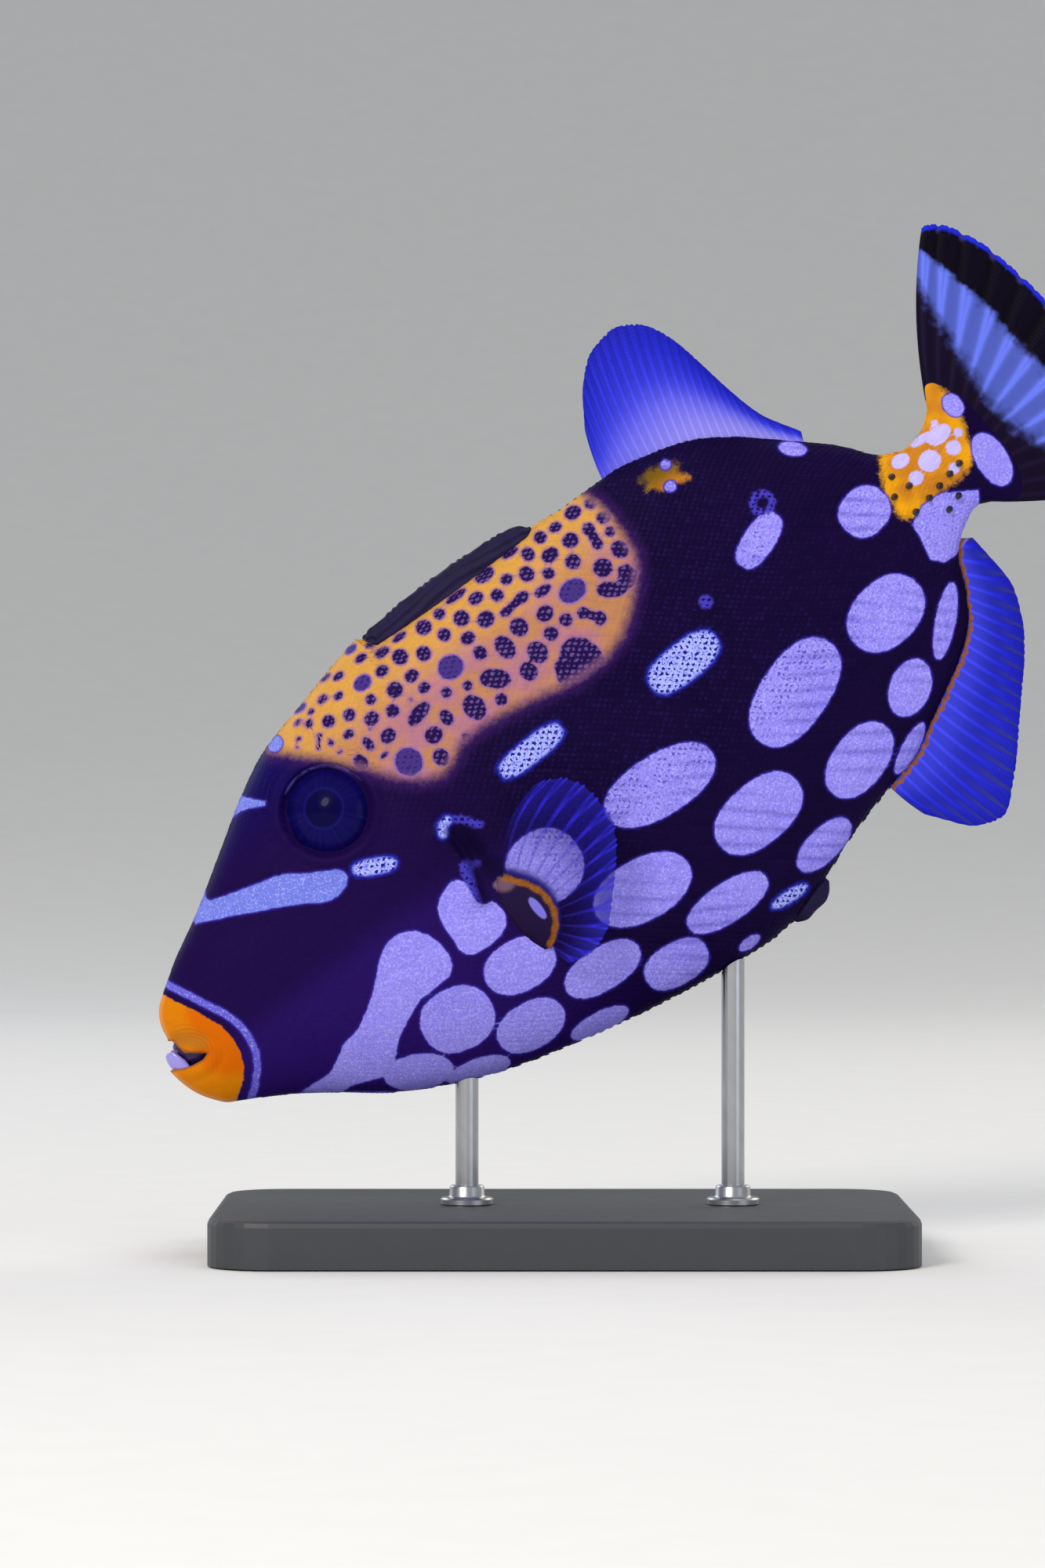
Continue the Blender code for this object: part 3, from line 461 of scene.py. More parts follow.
@dataclass(frozen=True)
class Oval:
    """An oval mark on the skin: its centre, its length and height, and its tilt in degrees."""

    s: float
    h: float
    long: float
    high: float
    tilt: float = 0.0
    square: float = 2.0

    def depth(self, s: Array, h: Array) -> Array:
        """How deep places lie inside the oval: about the distance in mm, negative outside."""
        turn = math.radians(self.tilt)
        ds, dh = s - self.s, h - self.h
        x = (ds * math.cos(turn) + dh * math.sin(turn)) / (self.long / 2)
        y = (dh * math.cos(turn) - ds * math.sin(turn)) / (self.high / 2)
        power = self.square
        near = (np.abs(x) ** power + np.abs(y) ** power) ** (1 / power)
        steep = np.hypot(x / (self.long / 2), y / (self.high / 2)) / np.maximum(np.hypot(x, y), 1e-6)
        return (1 - near) / np.maximum(steep, 1e-6)

    def moved(self, ds: float, dh: float, grown: float) -> "Oval":
        """The same oval elsewhere and of another size."""
        return replace(self, s=self.s + ds, h=self.h + dh, long=self.long * grown, high=self.high * grown)


@dataclass
class Markings:
    """The coat's pattern, with the places of its painted shade and highlights, as depths inside each kind of
    mark over the side view, in mm.
    """

    pale_ovals: tuple = (
        (48.4, -44.9, 18, 9.8, -27), (64.8, -39.7, 19.4, 16.6, -10, 2.3), (61, -54, 17, 6.8, -17),
        (86, -38, 19.4, 13.6, -8, 2.2), (78.9, -52.4, 18.8, 12.4, -6, 2.2),
        (93.5, -62.6, 16.6, 6, -9), (106.2, -21.4, 20, 19, 0, 2.2), (102.5, -51.5, 21.8, 11.2, -4, 2.2),
        (118.5, -62, 17.8, 11.2, -6, 2.4), (122.8, -41.1, 27.2, 16, -8, 2.1), (137, -69, 6.5, 3),
        (138.5, -57, 24, 10.2, -3, 2.2), (142.3, -22.2, 31.8, 15.6, -5, 2.2),
        (184.6, -23.7, 31.4, 17.4, 19, 2.3), (158.5, -43.2, 26, 15.8, 4, 2.3),
        (167.5, -60, 18, 8.6, 8, 2.2), (215.8, -21.4, 22.6, 16.6, 8, 2.2),
        (187.8, -47.8, 22.2, 13.8, 16, 2.2), (209.5, -40.6, 15.6, 10.8, 32), (227, 3, 13.8, 12.4, 10, 2.3),
        (200.5, 13.2, 16.4, 8, 20, 2.6), (222, 27.2, 7.4, 3.9, -45), (262.3, 11.5, 5.2, 6.6),
        (262, -5.8, 8.6, 15.2, -5, 2.1), (69, 45.3, 4.4, 4, 30), (193, 43.3, 2.8, 2.8),
        (190.5, 38, 3.2, 3), (227.2, -32.2, 20.4, 5.4, 43), (200.3, -53.3, 15, 4.4, 25.6),
    )  # fmt: skip
    chin_bar: tuple = ((27, -36.6), (39.5, -45.8))
    eye_ring: float = 11.4
    lip_corner: tuple = ((3.6, -1.0), (5.6, -2.6), (7.8, -5.0))
    heart: tuple = (
        (86.2, -10.7), (87.6, -12.3), (87.7, -14.3), (87.2, -16.4), (87, -18.6), (88, -20), (90.2, -20.5),
        (91, -22.3), (90.9, -25.2), (89.4, -27.5), (86.7, -29), (82.9, -29.3), (80.4, -29.1), (77.8, -28.5),
        (76.3, -27), (75.8, -25.2), (76.2, -23), (76.3, -19.5), (76.6, -16.3), (78, -13.2), (80.1, -11.8),
        (82.9, -10.6), (84.9, -10.2),
    )  # fmt: skip
    cheek: tuple = (
        (60, -14), (62.6, -13), (65, -12.8), (67.8, -13.6), (70, -15), (71.8, -17.6), (73, -21),
        (73.2, -25), (72, -28), (69.6, -29.6), (65, -29.8), (60, -30), (55, -32), (50, -34.6),
        (47, -37.4), (44, -39.6), (41, -40.6), (38, -39.6), (32, -37.4), (27, -37.6), (20.6, -33),
        (20, -31), (26, -31.2), (30, -31.4), (33, -30), (37, -27.6), (43, -26.4), (48, -23.6),
        (53, -20), (57, -16.2),
    )  # fmt: skip
    nose_stripe: tuple = (
        (24.6, 20.2), (30, 17.8), (35, 15.6), (40, 13.1), (45, 10.8), (50, 8.2), (54, 5.6), (57, 4.2),
        (60, 4), (62.5, 4.8), (64.2, 6.4), (64.3, 8.2), (63, 9.8), (60, 11.3), (56, 13.6), (52, 16.3),
        (49, 17.8), (45, 18.6), (40, 20.2), (35, 21.6), (31.4, 22.8), (30.8, 24.2), (33, 28), (24, 24),
    )  # fmt: skip
    forehead: tuple = (
        (48.6, 36.6), (51, 36.7), (54, 35.7), (57.6, 33.9), (58.6, 34.6), (56, 37.2), (53, 41), (48, 39),
    )  # fmt: skip
    peduncle_patch: tuple = (
        (235, -7), (240, -4.6), (246, -5), (251, -8), (254.4, -10), (252, -14), (249, -18), (240, -20),
        (236, -20), (233.4, -17), (234.4, -12),
    )  # fmt: skip
    speckled: tuple = (
        (166, -0.5, 21.6, 10.4, 2, 2.7), (121, 4.5, 20.2, 6.8, 2, 3.0),
        (152.5, -65.4, 11.6, 4, -4), (71.3, 4.5, 12.2, 4.8, -27, 2.8),
    )  # fmt: skip
    ring_spot: Oval = Oval(207, 20.5, 7.4, 7.0)
    dim_spots: tuple = ((180, 8.5, 3.8, 3.8), (92.8, -10.4, 2.6, 2.2))
    gill_hook: tuple = ((90.4, 0.8), (91.3, 2.6), (93.2, 3.0))
    gill_trail: tuple = ((93.2, 2.8), (96, 1.4), (99.2, -2.8))
    gill_strip: tuple = (
        (91.4, -7.4), (88.4, -8.0), (87.6, -11), (87.2, -14), (86.8, -18), (87.8, -19.6), (88.8, -16.4),
        (90.2, -12.6), (91.6, -9.6),
    )  # fmt: skip
    gill_slit: tuple = (
        (92, 0), (91.4, -2.4), (91.6, -5.5), (92.4, -9.5), (91.4, -13), (90.0, -16.4), (88.9, -19.4),
    )  # fmt: skip
    gill_cavity: tuple = ((94.8, -5.6, 4.6, 9, 8), (94.6, -13, 5.0, 6))
    tissue: Oval = Oval(95.4, -18.9, 5.2, 3.8, -20)
    saddle_edge: tuple = (
        (66.6, 44.4), (66, 52), (100, 62), (150, 62), (169.6, 58), (171.4, 51), (173, 46), (173.6, 42),
        (173.4, 35), (172.8, 29.6), (170.6, 25.2), (166.6, 21.4), (161.6, 17), (157, 14), (150, 12),
        (141, 12), (130, 14.5), (122, 16), (115, 17), (108, 16.6), (103, 14), (99, 13), (94, 15),
        (89.4, 19), (87, 22), (84, 26), (80, 30), (77, 34), (73, 38), (70, 41),
    )  # fmt: skip
    saddle_bay: tuple = (
        (150, 10), (150.6, 16), (149.2, 19.6), (146.6, 21.8), (143.4, 21.6), (141, 19.4), (138.6, 18.4),
        (137.2, 14.6), (138, 10),
    )  # fmt: skip
    saddle_notch: tuple = (
        (160, 24.6), (163, 26.6), (165, 26.4), (167, 29), (169.4, 28.6), (170.6, 25.4), (168, 23),
        (163, 22.8),
    )  # fmt: skip
    yolk_zone: tuple = (
        (233.9, -3), (234.4, 2.5), (236, 7), (239, 11.4), (243, 16), (250, 20), (256, 24), (262, 19),
        (263, 13), (262, 8), (260.2, 3), (258.8, -1), (256, -3.8), (252, -4.6), (247, -4.4), (243, -4.8),
        (238.5, -5.4), (235, -5),
    )  # fmt: skip
    yolk_patch: tuple = (
        (185.3, 43.9), (187, 44), (188.7, 44.9), (190, 43.8), (191.2, 44.2), (193.5, 43.3), (195.2, 41.8),
        (194.1, 39.6), (195.6, 37.1), (192.5, 37.8), (191.4, 38.6), (189.9, 39.5), (188.2, 38.7), (187, 40.6),
        (185.2, 41.2), (186.8, 42.3),
    )  # fmt: skip
    yolk_dots: tuple = (
        (248.5, 3.5, 6, 5.6), (243, 2, 4, 3.8), (242.5, 8, 5, 3.8), (255.5, 2.6, 4, 4),
        (254.5, 7.5, 7, 4.6), (259, 5, 2.4, 2.4), (252.5, -1.8, 3.2, 3), (255.5, 10.6, 2, 2),
        (250, 9.3, 6, 2.2), (246.6, 12.6, 2.4, 1.8),
    )  # fmt: skip
    mask_edge: tuple = (
        (6.4, 13), (7, 10.5), (9, 6.5), (11.5, 2.5), (13.2, -1.5), (14.8, -5), (15.3, -9), (14.8, -13),
        (13, -17), (10.5, -19.8), (7, -22), (5.7, -23), (4, -28), (-14, -28), (-14, 13),
    )  # fmt: skip
    halo_line: tuple = (
        (9, 13), (9.6, 11.6), (12.5, 6.5), (15, 1.5), (17.4, -3), (18.6, -7), (18.9, -11), (18, -15.5),
        (15.5, -19.5), (12, -22.8), (9, -24.8), (8, -26),
    )  # fmt: skip
    dark_spots: tuple = (
        (89.6, 51.4, 3, 1.2), (92.6, 49.6, 3.2, 1.8), (100, 49.8, 3.4, 2), (103.8, 51.4, 2, 1.6),
        (105.3, 47.8, 4, 2.4), (111.2, 48.4, 4, 1.8), (85.8, 47.2, 3, 2), (81.4, 46.4, 1.8, 1.4),
        (77, 46.2, 2.2, 1.4), (89.6, 45.4, 2.6, 2), (79.2, 44.2, 2.4, 2), (102.4, 43.8, 3.4, 2.8),
        (108.3, 44, 4, 4.2), (74.8, 42.6, 1.5, 1), (83.7, 41.6, 3.4, 3.2), (89, 39.7, 3.2, 3.2),
        (95.8, 39.6, 2.6, 2.8), (102.2, 37.8, 4.2, 4), (107.8, 38.2, 3.8, 3.2), (113.7, 41, 3.6, 4),
        (117.7, 46.6, 4, 4), (123, 47, 3, 3), (129.2, 48.2, 6, 2), (120.8, 41.8, 3.2, 3.6),
        (126.9, 42.6, 4, 4.2), (125.2, 37.4, 3.8, 3.4), (133, 44.6, 4, 3.2), (138.4, 48.2, 5.5, 3.4),
        (137.8, 41.9, 3.2, 3.4), (142.2, 43.8, 3.2, 2.8), (131.8, 38.6, 4.6, 4.2), (147.2, 49, 4.5, 2),
        (150.6, 45.8, 3.2, 3.8), (147.2, 41.8, 3.8, 4.2), (151.8, 38.6, 3, 3.2), (147.9, 35.8, 4.6, 2.6),
        (155.8, 47.4, 3.2, 3.4), (155, 42.2, 4.4, 3.6), (160.4, 47.2, 3.4, 2.6), (161.4, 42.1, 4.2, 4),
        (158.6, 37.2, 4, 4), (166.4, 47.6, 4.4, 3.6), (171.6, 46.8, 3.4, 3.2), (172, 41.8, 3.8, 3.4),
        (171, 37.8, 2.6, 2.8), (163.8, 31.4, 5, 4.8), (170.2, 32.6, 4.4, 4.8), (144.8, 30.7, 4.6, 4),
        (137.4, 31.8, 4.6, 5), (131.4, 29.8, 4.6, 6.6), (125.4, 32.5, 3.4, 3.8), (108.6, 33.8, 3.2, 2.8),
        (104.2, 33.4, 1, 1), (98.6, 33.8, 3.4, 3.4), (93.1, 35.4, 4, 3.6), (86, 35.8, 3, 2.2),
        (81, 36.8, 1.4, 2), (79.3, 40, 2, 1.6), (81.4, 33.4, 1.4, 1), (88.6, 30.7, 2.4, 4),
        (93.9, 29.3, 4.2, 3.6), (103.6, 29.2, 7.4, 3.6, 15), (112.5, 29.4, 2.8, 2.8), (117.8, 27.6, 2.6, 2.6),
        (90.2, 26, 2.6, 1.2), (84.2, 28, 3.4, 4.4), (124.6, 24.8, 8, 5, -40), (116, 22, 5.4, 7),
        (108.7, 24.2, 3.2, 4.4), (103.4, 22.5, 4.6, 4.4), (122.7, 19.6, 3.2, 3.2), (132.6, 21.2, 4.4, 5),
        (137.4, 23.8, 5, 6), (143, 25.6, 3.6, 3.8), (148.2, 26.2, 3.4, 3.4), (101.6, 16.8, 4, 4.6),
        (109.8, 16.4, 2.6, 4), (167, 41.6, 3.2, 3.4), (166.4, 37.2, 2.8, 3.2), (152.8, 25, 3.2, 3),
        (155.4, 21.4, 3.4, 3.8), (137, 37, 3, 2.4), (142.5, 37.6, 4, 3), (161.4, 26.2, 5.4, 4, -30),
        (73.2, 41, 1, 0.8), (77.6, 37.6, 1, 1.2), (91.2, 33.6, 1, 0.8),
    )  # fmt: skip
    dark_bars: tuple = (
        ((167, 41.6), (166.4, 37.2), 1.2),
        ((152.8, 25), (155.4, 21.4), 1.1),
        ((137, 37), (142.5, 37.6), 1.0),
    )
    violet_spots: tuple = (
        (99.2, 53.4, 3.2, 1.8), (79.6, 49, 3.5, 1.6), (96.6, 44.3, 4.8, 3.6), (154, 31.2, 7.4, 5.6),
        (117.2, 34, 6.6, 6), (94.2, 20.8, 6.8, 7.4),
    )  # fmt: skip

    def varied(self, rows: Sequence[tuple], side: Side, most: float) -> list[Oval]:
        """The ovals as they are on the left, and shifted and resized a little on the right."""
        ovals = [Oval(*row) for row in rows]
        if side is Side.LEFT:
            return ovals
        draws = np.random.default_rng(SEED + len(ovals)).uniform(-1, 1, (len(ovals), 3))
        return [o.moved(a * most, b * most, 1 + 0.08 * c) for o, (a, b, c) in zip(ovals, draws)]

    def cavity(self, s: Array, h: Array) -> Array:
        """How deep places lie inside the dark hollow behind the gill's flap."""
        return np.max([Oval(*row).depth(s, h) for row in self.gill_cavity], axis=0)

    def depths(self, s: Array, h: Array, side: Side) -> dict[str, Array]:
        """How deep places lie inside each kind of mark.

        Args:
            s: Along the body.
            h: Towards the back.
            side: Which side of the fish.

        Returns:
            The attributes that the finishes read, by name.
        """
        def most(rows: Sequence[tuple], shift: float) -> Array:
            return np.max([o.depth(s, h) for o in self.varied(rows, side, shift)], axis=0)

        def line(points: Line, half: float) -> Array:
            return half - far_from_line(points, s, h)

        def outlines(*rings: Line) -> Array:
            return np.max([inside_polygon(ring, s, h) for ring in rings], axis=0)

        pale_outlines = (self.heart, self.cheek, self.nose_stripe, self.forehead, self.peduncle_patch)
        pale = np.maximum(most(self.pale_ovals, 1.2), outlines(*pale_outlines))
        pale = np.maximum(pale, np.maximum(line(self.chin_bar, 0.7), line(self.halo_line, 0.95)))
        speckled = np.maximum(most(self.speckled, 1.0), line(self.gill_hook, 1.5))
        dim = np.maximum(most(self.dim_spots, 0.8), outlines(self.gill_strip))
        ring_ = 1.0 - np.abs(self.ring_spot.depth(s, h) - 1.1)
        dim = np.maximum(dim, np.maximum(line(self.gill_trail, 1.1), ring_))
        dark = np.maximum(most(self.dark_spots, 0.8), outlines(self.saddle_bay, self.saddle_notch))
        for start, end, half in self.dark_bars:
            dark = np.maximum(dark, line((start, end), half))
        # How far round from the top a place lies near the eye: the rim's painted highlight keeps to the upper
        # side.
        turn_from_top = np.abs(np.arctan2(h - SHAPE.eye[1], s - SHAPE.eye[0]) - 1.1)
        return {
            "pale": pale,
            "speckled": speckled,
            "saddle": outlines(self.saddle_edge),
            "dark_spot": dark,
            "violet_spot": most(self.violet_spots, 0.8),
            "yolk": outlines(self.yolk_zone, self.yolk_patch),
            "yolk_dot": most(self.yolk_dots, 0.5),
            "mask": outlines(self.mask_edge),
            "dim": dim,
            # The gill's hollow and slit, which the skin's paint darkens as painted shade.
            "cavity": np.maximum(self.cavity(s, h), line(self.gill_slit, 0.45)),
            "tissue": self.tissue.depth(s, h),
            # Where painted shade darkens the flank's creases.
            "crease": SHAPE.creases(s, h),
            "eye_rim_highlight": 0.2 - np.abs(far_from(SHAPE.eye, s, h) - self.eye_ring) - ease(turn_from_top, 1.0, 1.5),
            "lip_edge": -np.maximum(line(SHAPE.gape_top, 0), line(SHAPE.gape_bottom, 0)),
            # Where painted shade darkens the fold at the mouth's corner and the lips' wrinkles.
            "lip_corner": far_from_line(self.lip_corner, s, h),
            "lip_lines": SHAPE.lip_lines(s, h),
            "lip_front": far_from_line([tuple(p) for p in SHAPE.snout_line[::3]], s, h),
            "front": 1 - ease(s, 60, 120),
            "nose": ease(h, -16, -4),
            "halo": 1 - ease(s, 20, 24),
            "dot_region": ease(s, 92, 118) * (0.15 + 0.85 * ease(h, -38, -16)) * (1 - 0.6 * ease(s, 190, 215)),
            "high": ease(h, 18, 50),
        }


MARKS = Markings()


def write_value(mesh: Mesh, name: str, values: Array, kind: str = "FLOAT") -> None:
    """Writes one value, or one vector where kind says so, for each point of a mesh."""
    layer = mesh.attributes.get(name) or mesh.attributes.new(name, kind, "POINT")
    layer.data.foreach_set("value" if kind == "FLOAT" else "vector", np.ravel(values).astype(np.float32))


def write_marks(mesh: Mesh, extra: dict[str, Array] | None = None) -> None:
    """Writes the pattern's depths, and any further values, onto a mesh's points.

    Args:
        mesh: A mesh in the stand's frame, in metres.
        extra: Further values by name, one for each point.
    """
    points = np.empty(len(mesh.vertices) * 3)
    mesh.vertices.foreach_get("co", points)
    s, y, h = side_view(points.reshape(-1, 3))
    values = {}
    for side in Side:
        chosen = y * side.value >= 0
        for name, depth in MARKS.depths(s[chosen], h[chosen], side).items():
            values.setdefault(name, np.zeros(len(s)))[chosen] = np.clip(depth, -30, 30)
    for name, value in {**values, **(extra or {})}.items():
        write_value(mesh, name, value)


def linear(code: str) -> tuple[float, float, float, float]:
    """A linear colour from an sRGB hex code."""
    parts = [int(code[i : i + 2], 16) / 255 for i in (1, 3, 5)]
    return (*[c / 12.92 if c <= 0.04045 else ((c + 0.055) / 1.055) ** 2.4 for c in parts], 1.0)


def add_node(tree: Tree, kind: str, settings: dict | None = None, **inputs: object) -> Node:
    """Adds a node to a tree.

    Args:
        tree: A material's or a modifier's tree.
        kind: The node's type.
        settings: The node's own properties.
        **inputs: What each input gets, by its name with _ for a space, or by its number
            after an n: a value, a hex colour, or an output socket to link.

    Returns:
        The node.
    """
    node = tree.nodes.new(kind)
    for name, value in (settings or {}).items():
        setattr(node, name, value)
    for name, value in inputs.items():
        key = int(name[1:]) if name[0] == "n" and name[1:].isdigit() else name.replace("_", " ")
        socket = node.inputs[key]
        if isinstance(value, Socket):
            tree.links.new(value, socket)
        elif isinstance(value, str) and value.startswith("#"):
            socket.default_value = linear(value)
        else:
            socket.default_value = value
    return node


def blended(tree: Tree, share: Socket | float, low: Socket | str, high: Socket | str) -> Socket:
    """The colour between two colours, by a share."""
    settings = {"data_type": "RGBA"}
    return add_node(tree, "ShaderNodeMix", settings, n0=share, n6=low, n7=high).outputs[2]


def counted(tree: Tree, operation: str, *values: Socket | float) -> Socket:
    """The result of one sum on numbers."""
    inputs = {f"n{i}": value for i, value in enumerate(values)}
    return add_node(tree, "ShaderNodeMath", {"operation": operation}, **inputs).outputs[0]


def stored(tree: Tree, name: str) -> Socket:
    """A value that the mesh's points carry."""
    return add_node(tree, "ShaderNodeAttribute", {"attribute_name": name}).outputs["Fac"]


def ranged(tree: Tree, value: Socket, low: float, high: float) -> Socket:
    """0 below low, 1 above high, and smooth between."""
    settings = {"interpolation_type": "SMOOTHSTEP"}
    return add_node(tree, "ShaderNodeMapRange", settings, n0=value, n1=low, n2=high).outputs[0]


@dataclass(frozen=True)
class Finish:
    """A surface's look that is the same all over: its shader's own numbers.

    roughness, ior and metallic are typical for the real material; coat is the clear layer
    over it, coat_roughness that layer's own; subsurface is for what light enters, as far as
    glow_mm.
    """

    name: str
    colour: str
    roughness: float
    ior: float = 1.5
    metallic: float = 0.0
    coat: float = 0.0
    coat_roughness: float = 0.1
    subsurface: float = 0.0
    specular: float = 0.5
    glow_mm: float = 1.5
    glow_tint: tuple[float, float, float] = (1.0, 0.55, 0.45)

    def start(self) -> tuple[Material, Tree, Node]:
        """A new material with its shader set.

        Returns:
            The material, its node tree and its shader.
        """
        material = bpy.data.materials.new(self.name)
        material.use_nodes = True
        tree = material.node_tree
        shader = tree.nodes["Principled BSDF"]
        values = {
            "Base Color": linear(self.colour),
            "Roughness": self.roughness,
            "IOR": self.ior,
            "Metallic": self.metallic,
            "Specular IOR Level": self.specular,
            "Coat Weight": self.coat,
            "Coat Roughness": self.coat_roughness,
            "Subsurface Weight": self.subsurface,
            "Subsurface Scale": self.glow_mm * MM,
            "Subsurface Radius": self.glow_tint,
        }
        for name, value in values.items():
            shader.inputs[name].default_value = value
        return material, tree, shader

    def bumped(self, tree: Tree, shader: Node, height: Socket, depth_mm: float) -> None:
        """Gives the shader fine relief.

        Args:
            tree: The material's tree.
            shader: Its shader.
            height: The relief, from 0 to 1.
            depth_mm: The relief's real depth.
        """
        relief = add_node(tree, "ShaderNodeBump", Height=height, Strength=1.0, Distance=depth_mm * MM)
        tree.links.new(relief.outputs[0], shader.inputs["Normal"])


def noise_at(tree: Tree, size_mm: float, detail: float = 2.0, stretch: tuple | None = None) -> Socket:
    """Noise on the object's own coordinates, from 0 to 1.

    Args:
        tree: The material's tree.
        size_mm: The size of its blotches.
        detail: How much finer noise it carries.
        stretch: How many times longer its blotches are along the body, across it and up.

    Returns:
        The noise.
    """
    where = add_node(tree, "ShaderNodeTexCoord").outputs["Object"]
    if stretch:
        inverse = tuple(1 / k for k in stretch)
        turned_back = add_node(tree, "ShaderNodeMapping", n0=where, n2=(0.0, PITCH, 0.0))
        where = add_node(tree, "ShaderNodeMapping", n0=turned_back.outputs[0], n3=inverse).outputs[0]
    scale = 1 / (size_mm * MM)
    return add_node(tree, "ShaderNodeTexNoise", Vector=where, Scale=scale, Detail=detail).outputs[0]


def off_axis(tree: Tree, part: Sequence[Socket]) -> Socket:
    """How far a place is from the z axis, from its own x, y and z."""
    flat = add_node(tree, "ShaderNodeCombineXYZ", n0=part[0], n1=part[1]).outputs[0]
    return add_node(tree, "ShaderNodeVectorMath", {"operation": "LENGTH"}, n0=flat).outputs["Value"]


@dataclass(frozen=True)
class PaintedSkin(Finish):
    """Lacquered skin of a cast fish, with all the species' marks painted on it.

    The eye gets near-black violet with crisp lilac spots, an orange-yellow saddle full of
    dark spots, orange lips with a pale ring behind them and a yellow stalk of the tail.
    Painted shade darkens the flank's creases, the lips' wrinkles, the mouth's corner and the
    gill's hollow, and painted highlights dot the plates' tips and arc over the eye's rim.
    """

    def marked(self, tree: Tree) -> Socket:
        """The painted colour: every mark, thresholded from the depths that the points carry."""
        wobble = counted(tree, "SUBTRACT", noise_at(tree, 1.6, 1.0), 0.5)
        fine = counted(tree, "SUBTRACT", noise_at(tree, 0.5, 1.0), 0.5)
        cloud = noise_at(tree, 14.0, 2.0)
        warm = ranged(tree, noise_at(tree, 11.0, 2.0), 0.4, 0.64)
        grain = ranged(tree, fine, -0.02, 0.14)
        front, nose, high, halo, crease, shade, lines, dot_region = (
            stored(tree, name)
            for name in ("front", "nose", "high", "halo", "crease", "shade", "lip_lines", "dot_region")
        )

        def inside(name: str, low: float, full: float, rough: float = 0.5) -> Socket:
            depth = counted(tree, "MULTIPLY_ADD", wobble, rough, stored(tree, name))
            return ranged(tree, counted(tree, "MULTIPLY_ADD", fine, rough * 0.8, depth), low, full)

        def near(name: str, low: float, full: float) -> Socket:
            return ranged(tree, stored(tree, name), low, full)

        def times(first: Socket, second: Socket | float) -> Socket:
            return counted(tree, "MULTIPLY", first, second)

        def painted(colour: Socket | str, *layers: tuple) -> Socket:
            for share, tint in layers:
                colour = blended(tree, share, colour, tint)
            return colour

        # Each plate's middle carries a small dot, which shows as a dark pore, or on the dark skin and in the
        # saddle's dark spots as a painted highlight.
        local = add_node(tree, "ShaderNodeAttribute", {"attribute_name": "local"}).outputs["Vector"]
        part = add_node(tree, "ShaderNodeSeparateXYZ", n0=local).outputs
        knob = counted(tree, "SUBTRACT", part[2], off_axis(tree, part))
        ragged = counted(tree, "MULTIPLY_ADD", fine, 1.1, knob)
        ragged = counted(tree, "MULTIPLY_ADD", shade, 0.3, ragged)
        tip = ranged(tree, ragged, 0.7, 0.88)
        dots = times(tip, ranged(tree, noise_at(tree, 2.2, 1.0), 0.36, 0.6))
        pores_and_glints = times(dots, dot_region)

        face = painted("#260F5E", (nose, "#1B0742"), (times(high, 0.9), "#0C0658"))
        gold = painted(
            "#B67E56", (warm, "#AC7282"), (ranged(tree, high, 0.3, 1.0), "#D09A46"),
            (times(tip, 0.15), "#9A5E3A"),
        )  # fmt: skip
        # The lilac dots in the saddle's dark spots are painted highlights on the plates' tips.
        ink = painted("#220D4A", (times(tip, 0.4), "#8A70B4"))
        violet_ink = painted("#43307E", (times(tip, 0.6), "#1C0E48"))
        yolk = painted("#E6A012", (warm, "#C27A1E"), (ranged(tree, high, 0.6, 0.9), "#70540F"))
        # In the pale marks, the pale flecks from the fine noise are painted highlights, and the darker violet
        # along the creases is painted shade.
        milky = painted(
            "#8C81F0", (cloud, "#A399F8"), (times(high, 0.6), "#6C5FDA"), (times(front, nose), "#6E7CDC"),
            (halo, "#5F5ACC"), (times(pores_and_glints, 0.8), "#2E2480"), (times(grain, 0.3), "#6C64E2"),
            (times(ranged(tree, fine, -0.04, -0.16), 0.4), "#C2C4FF"), (times(crease, 0.55), "#5347B0"),
        )  # fmt: skip
        chalk = painted("#AEB6FF", (grain, "#727AF2"), (ranged(tree, ragged, 0.72, 0.88), "#1E1A80"))
        # On the lips, the darker lines in the wrinkles and the darker orange-brown near the mouth's corner
        # are painted shade.
        orange = painted(
            "#D07406", (noise_at(tree, 3.0, 2.0), "#DA8208"), (near("lip_front", 5.5, 9.5), "#D66602"),
            (near("lip_corner", 3.6, 0.4), "#B9701C"), (times(lines, 0.5), "#9A560E"),
            (near("lip_front", 1.7, 0.1), "#E09450"), (near("lip_edge", 1.0, 0.1), "#A8601E"),
        )  # fmt: skip
        saddle = inside("saddle", -1.6, 2.8, 1.4)
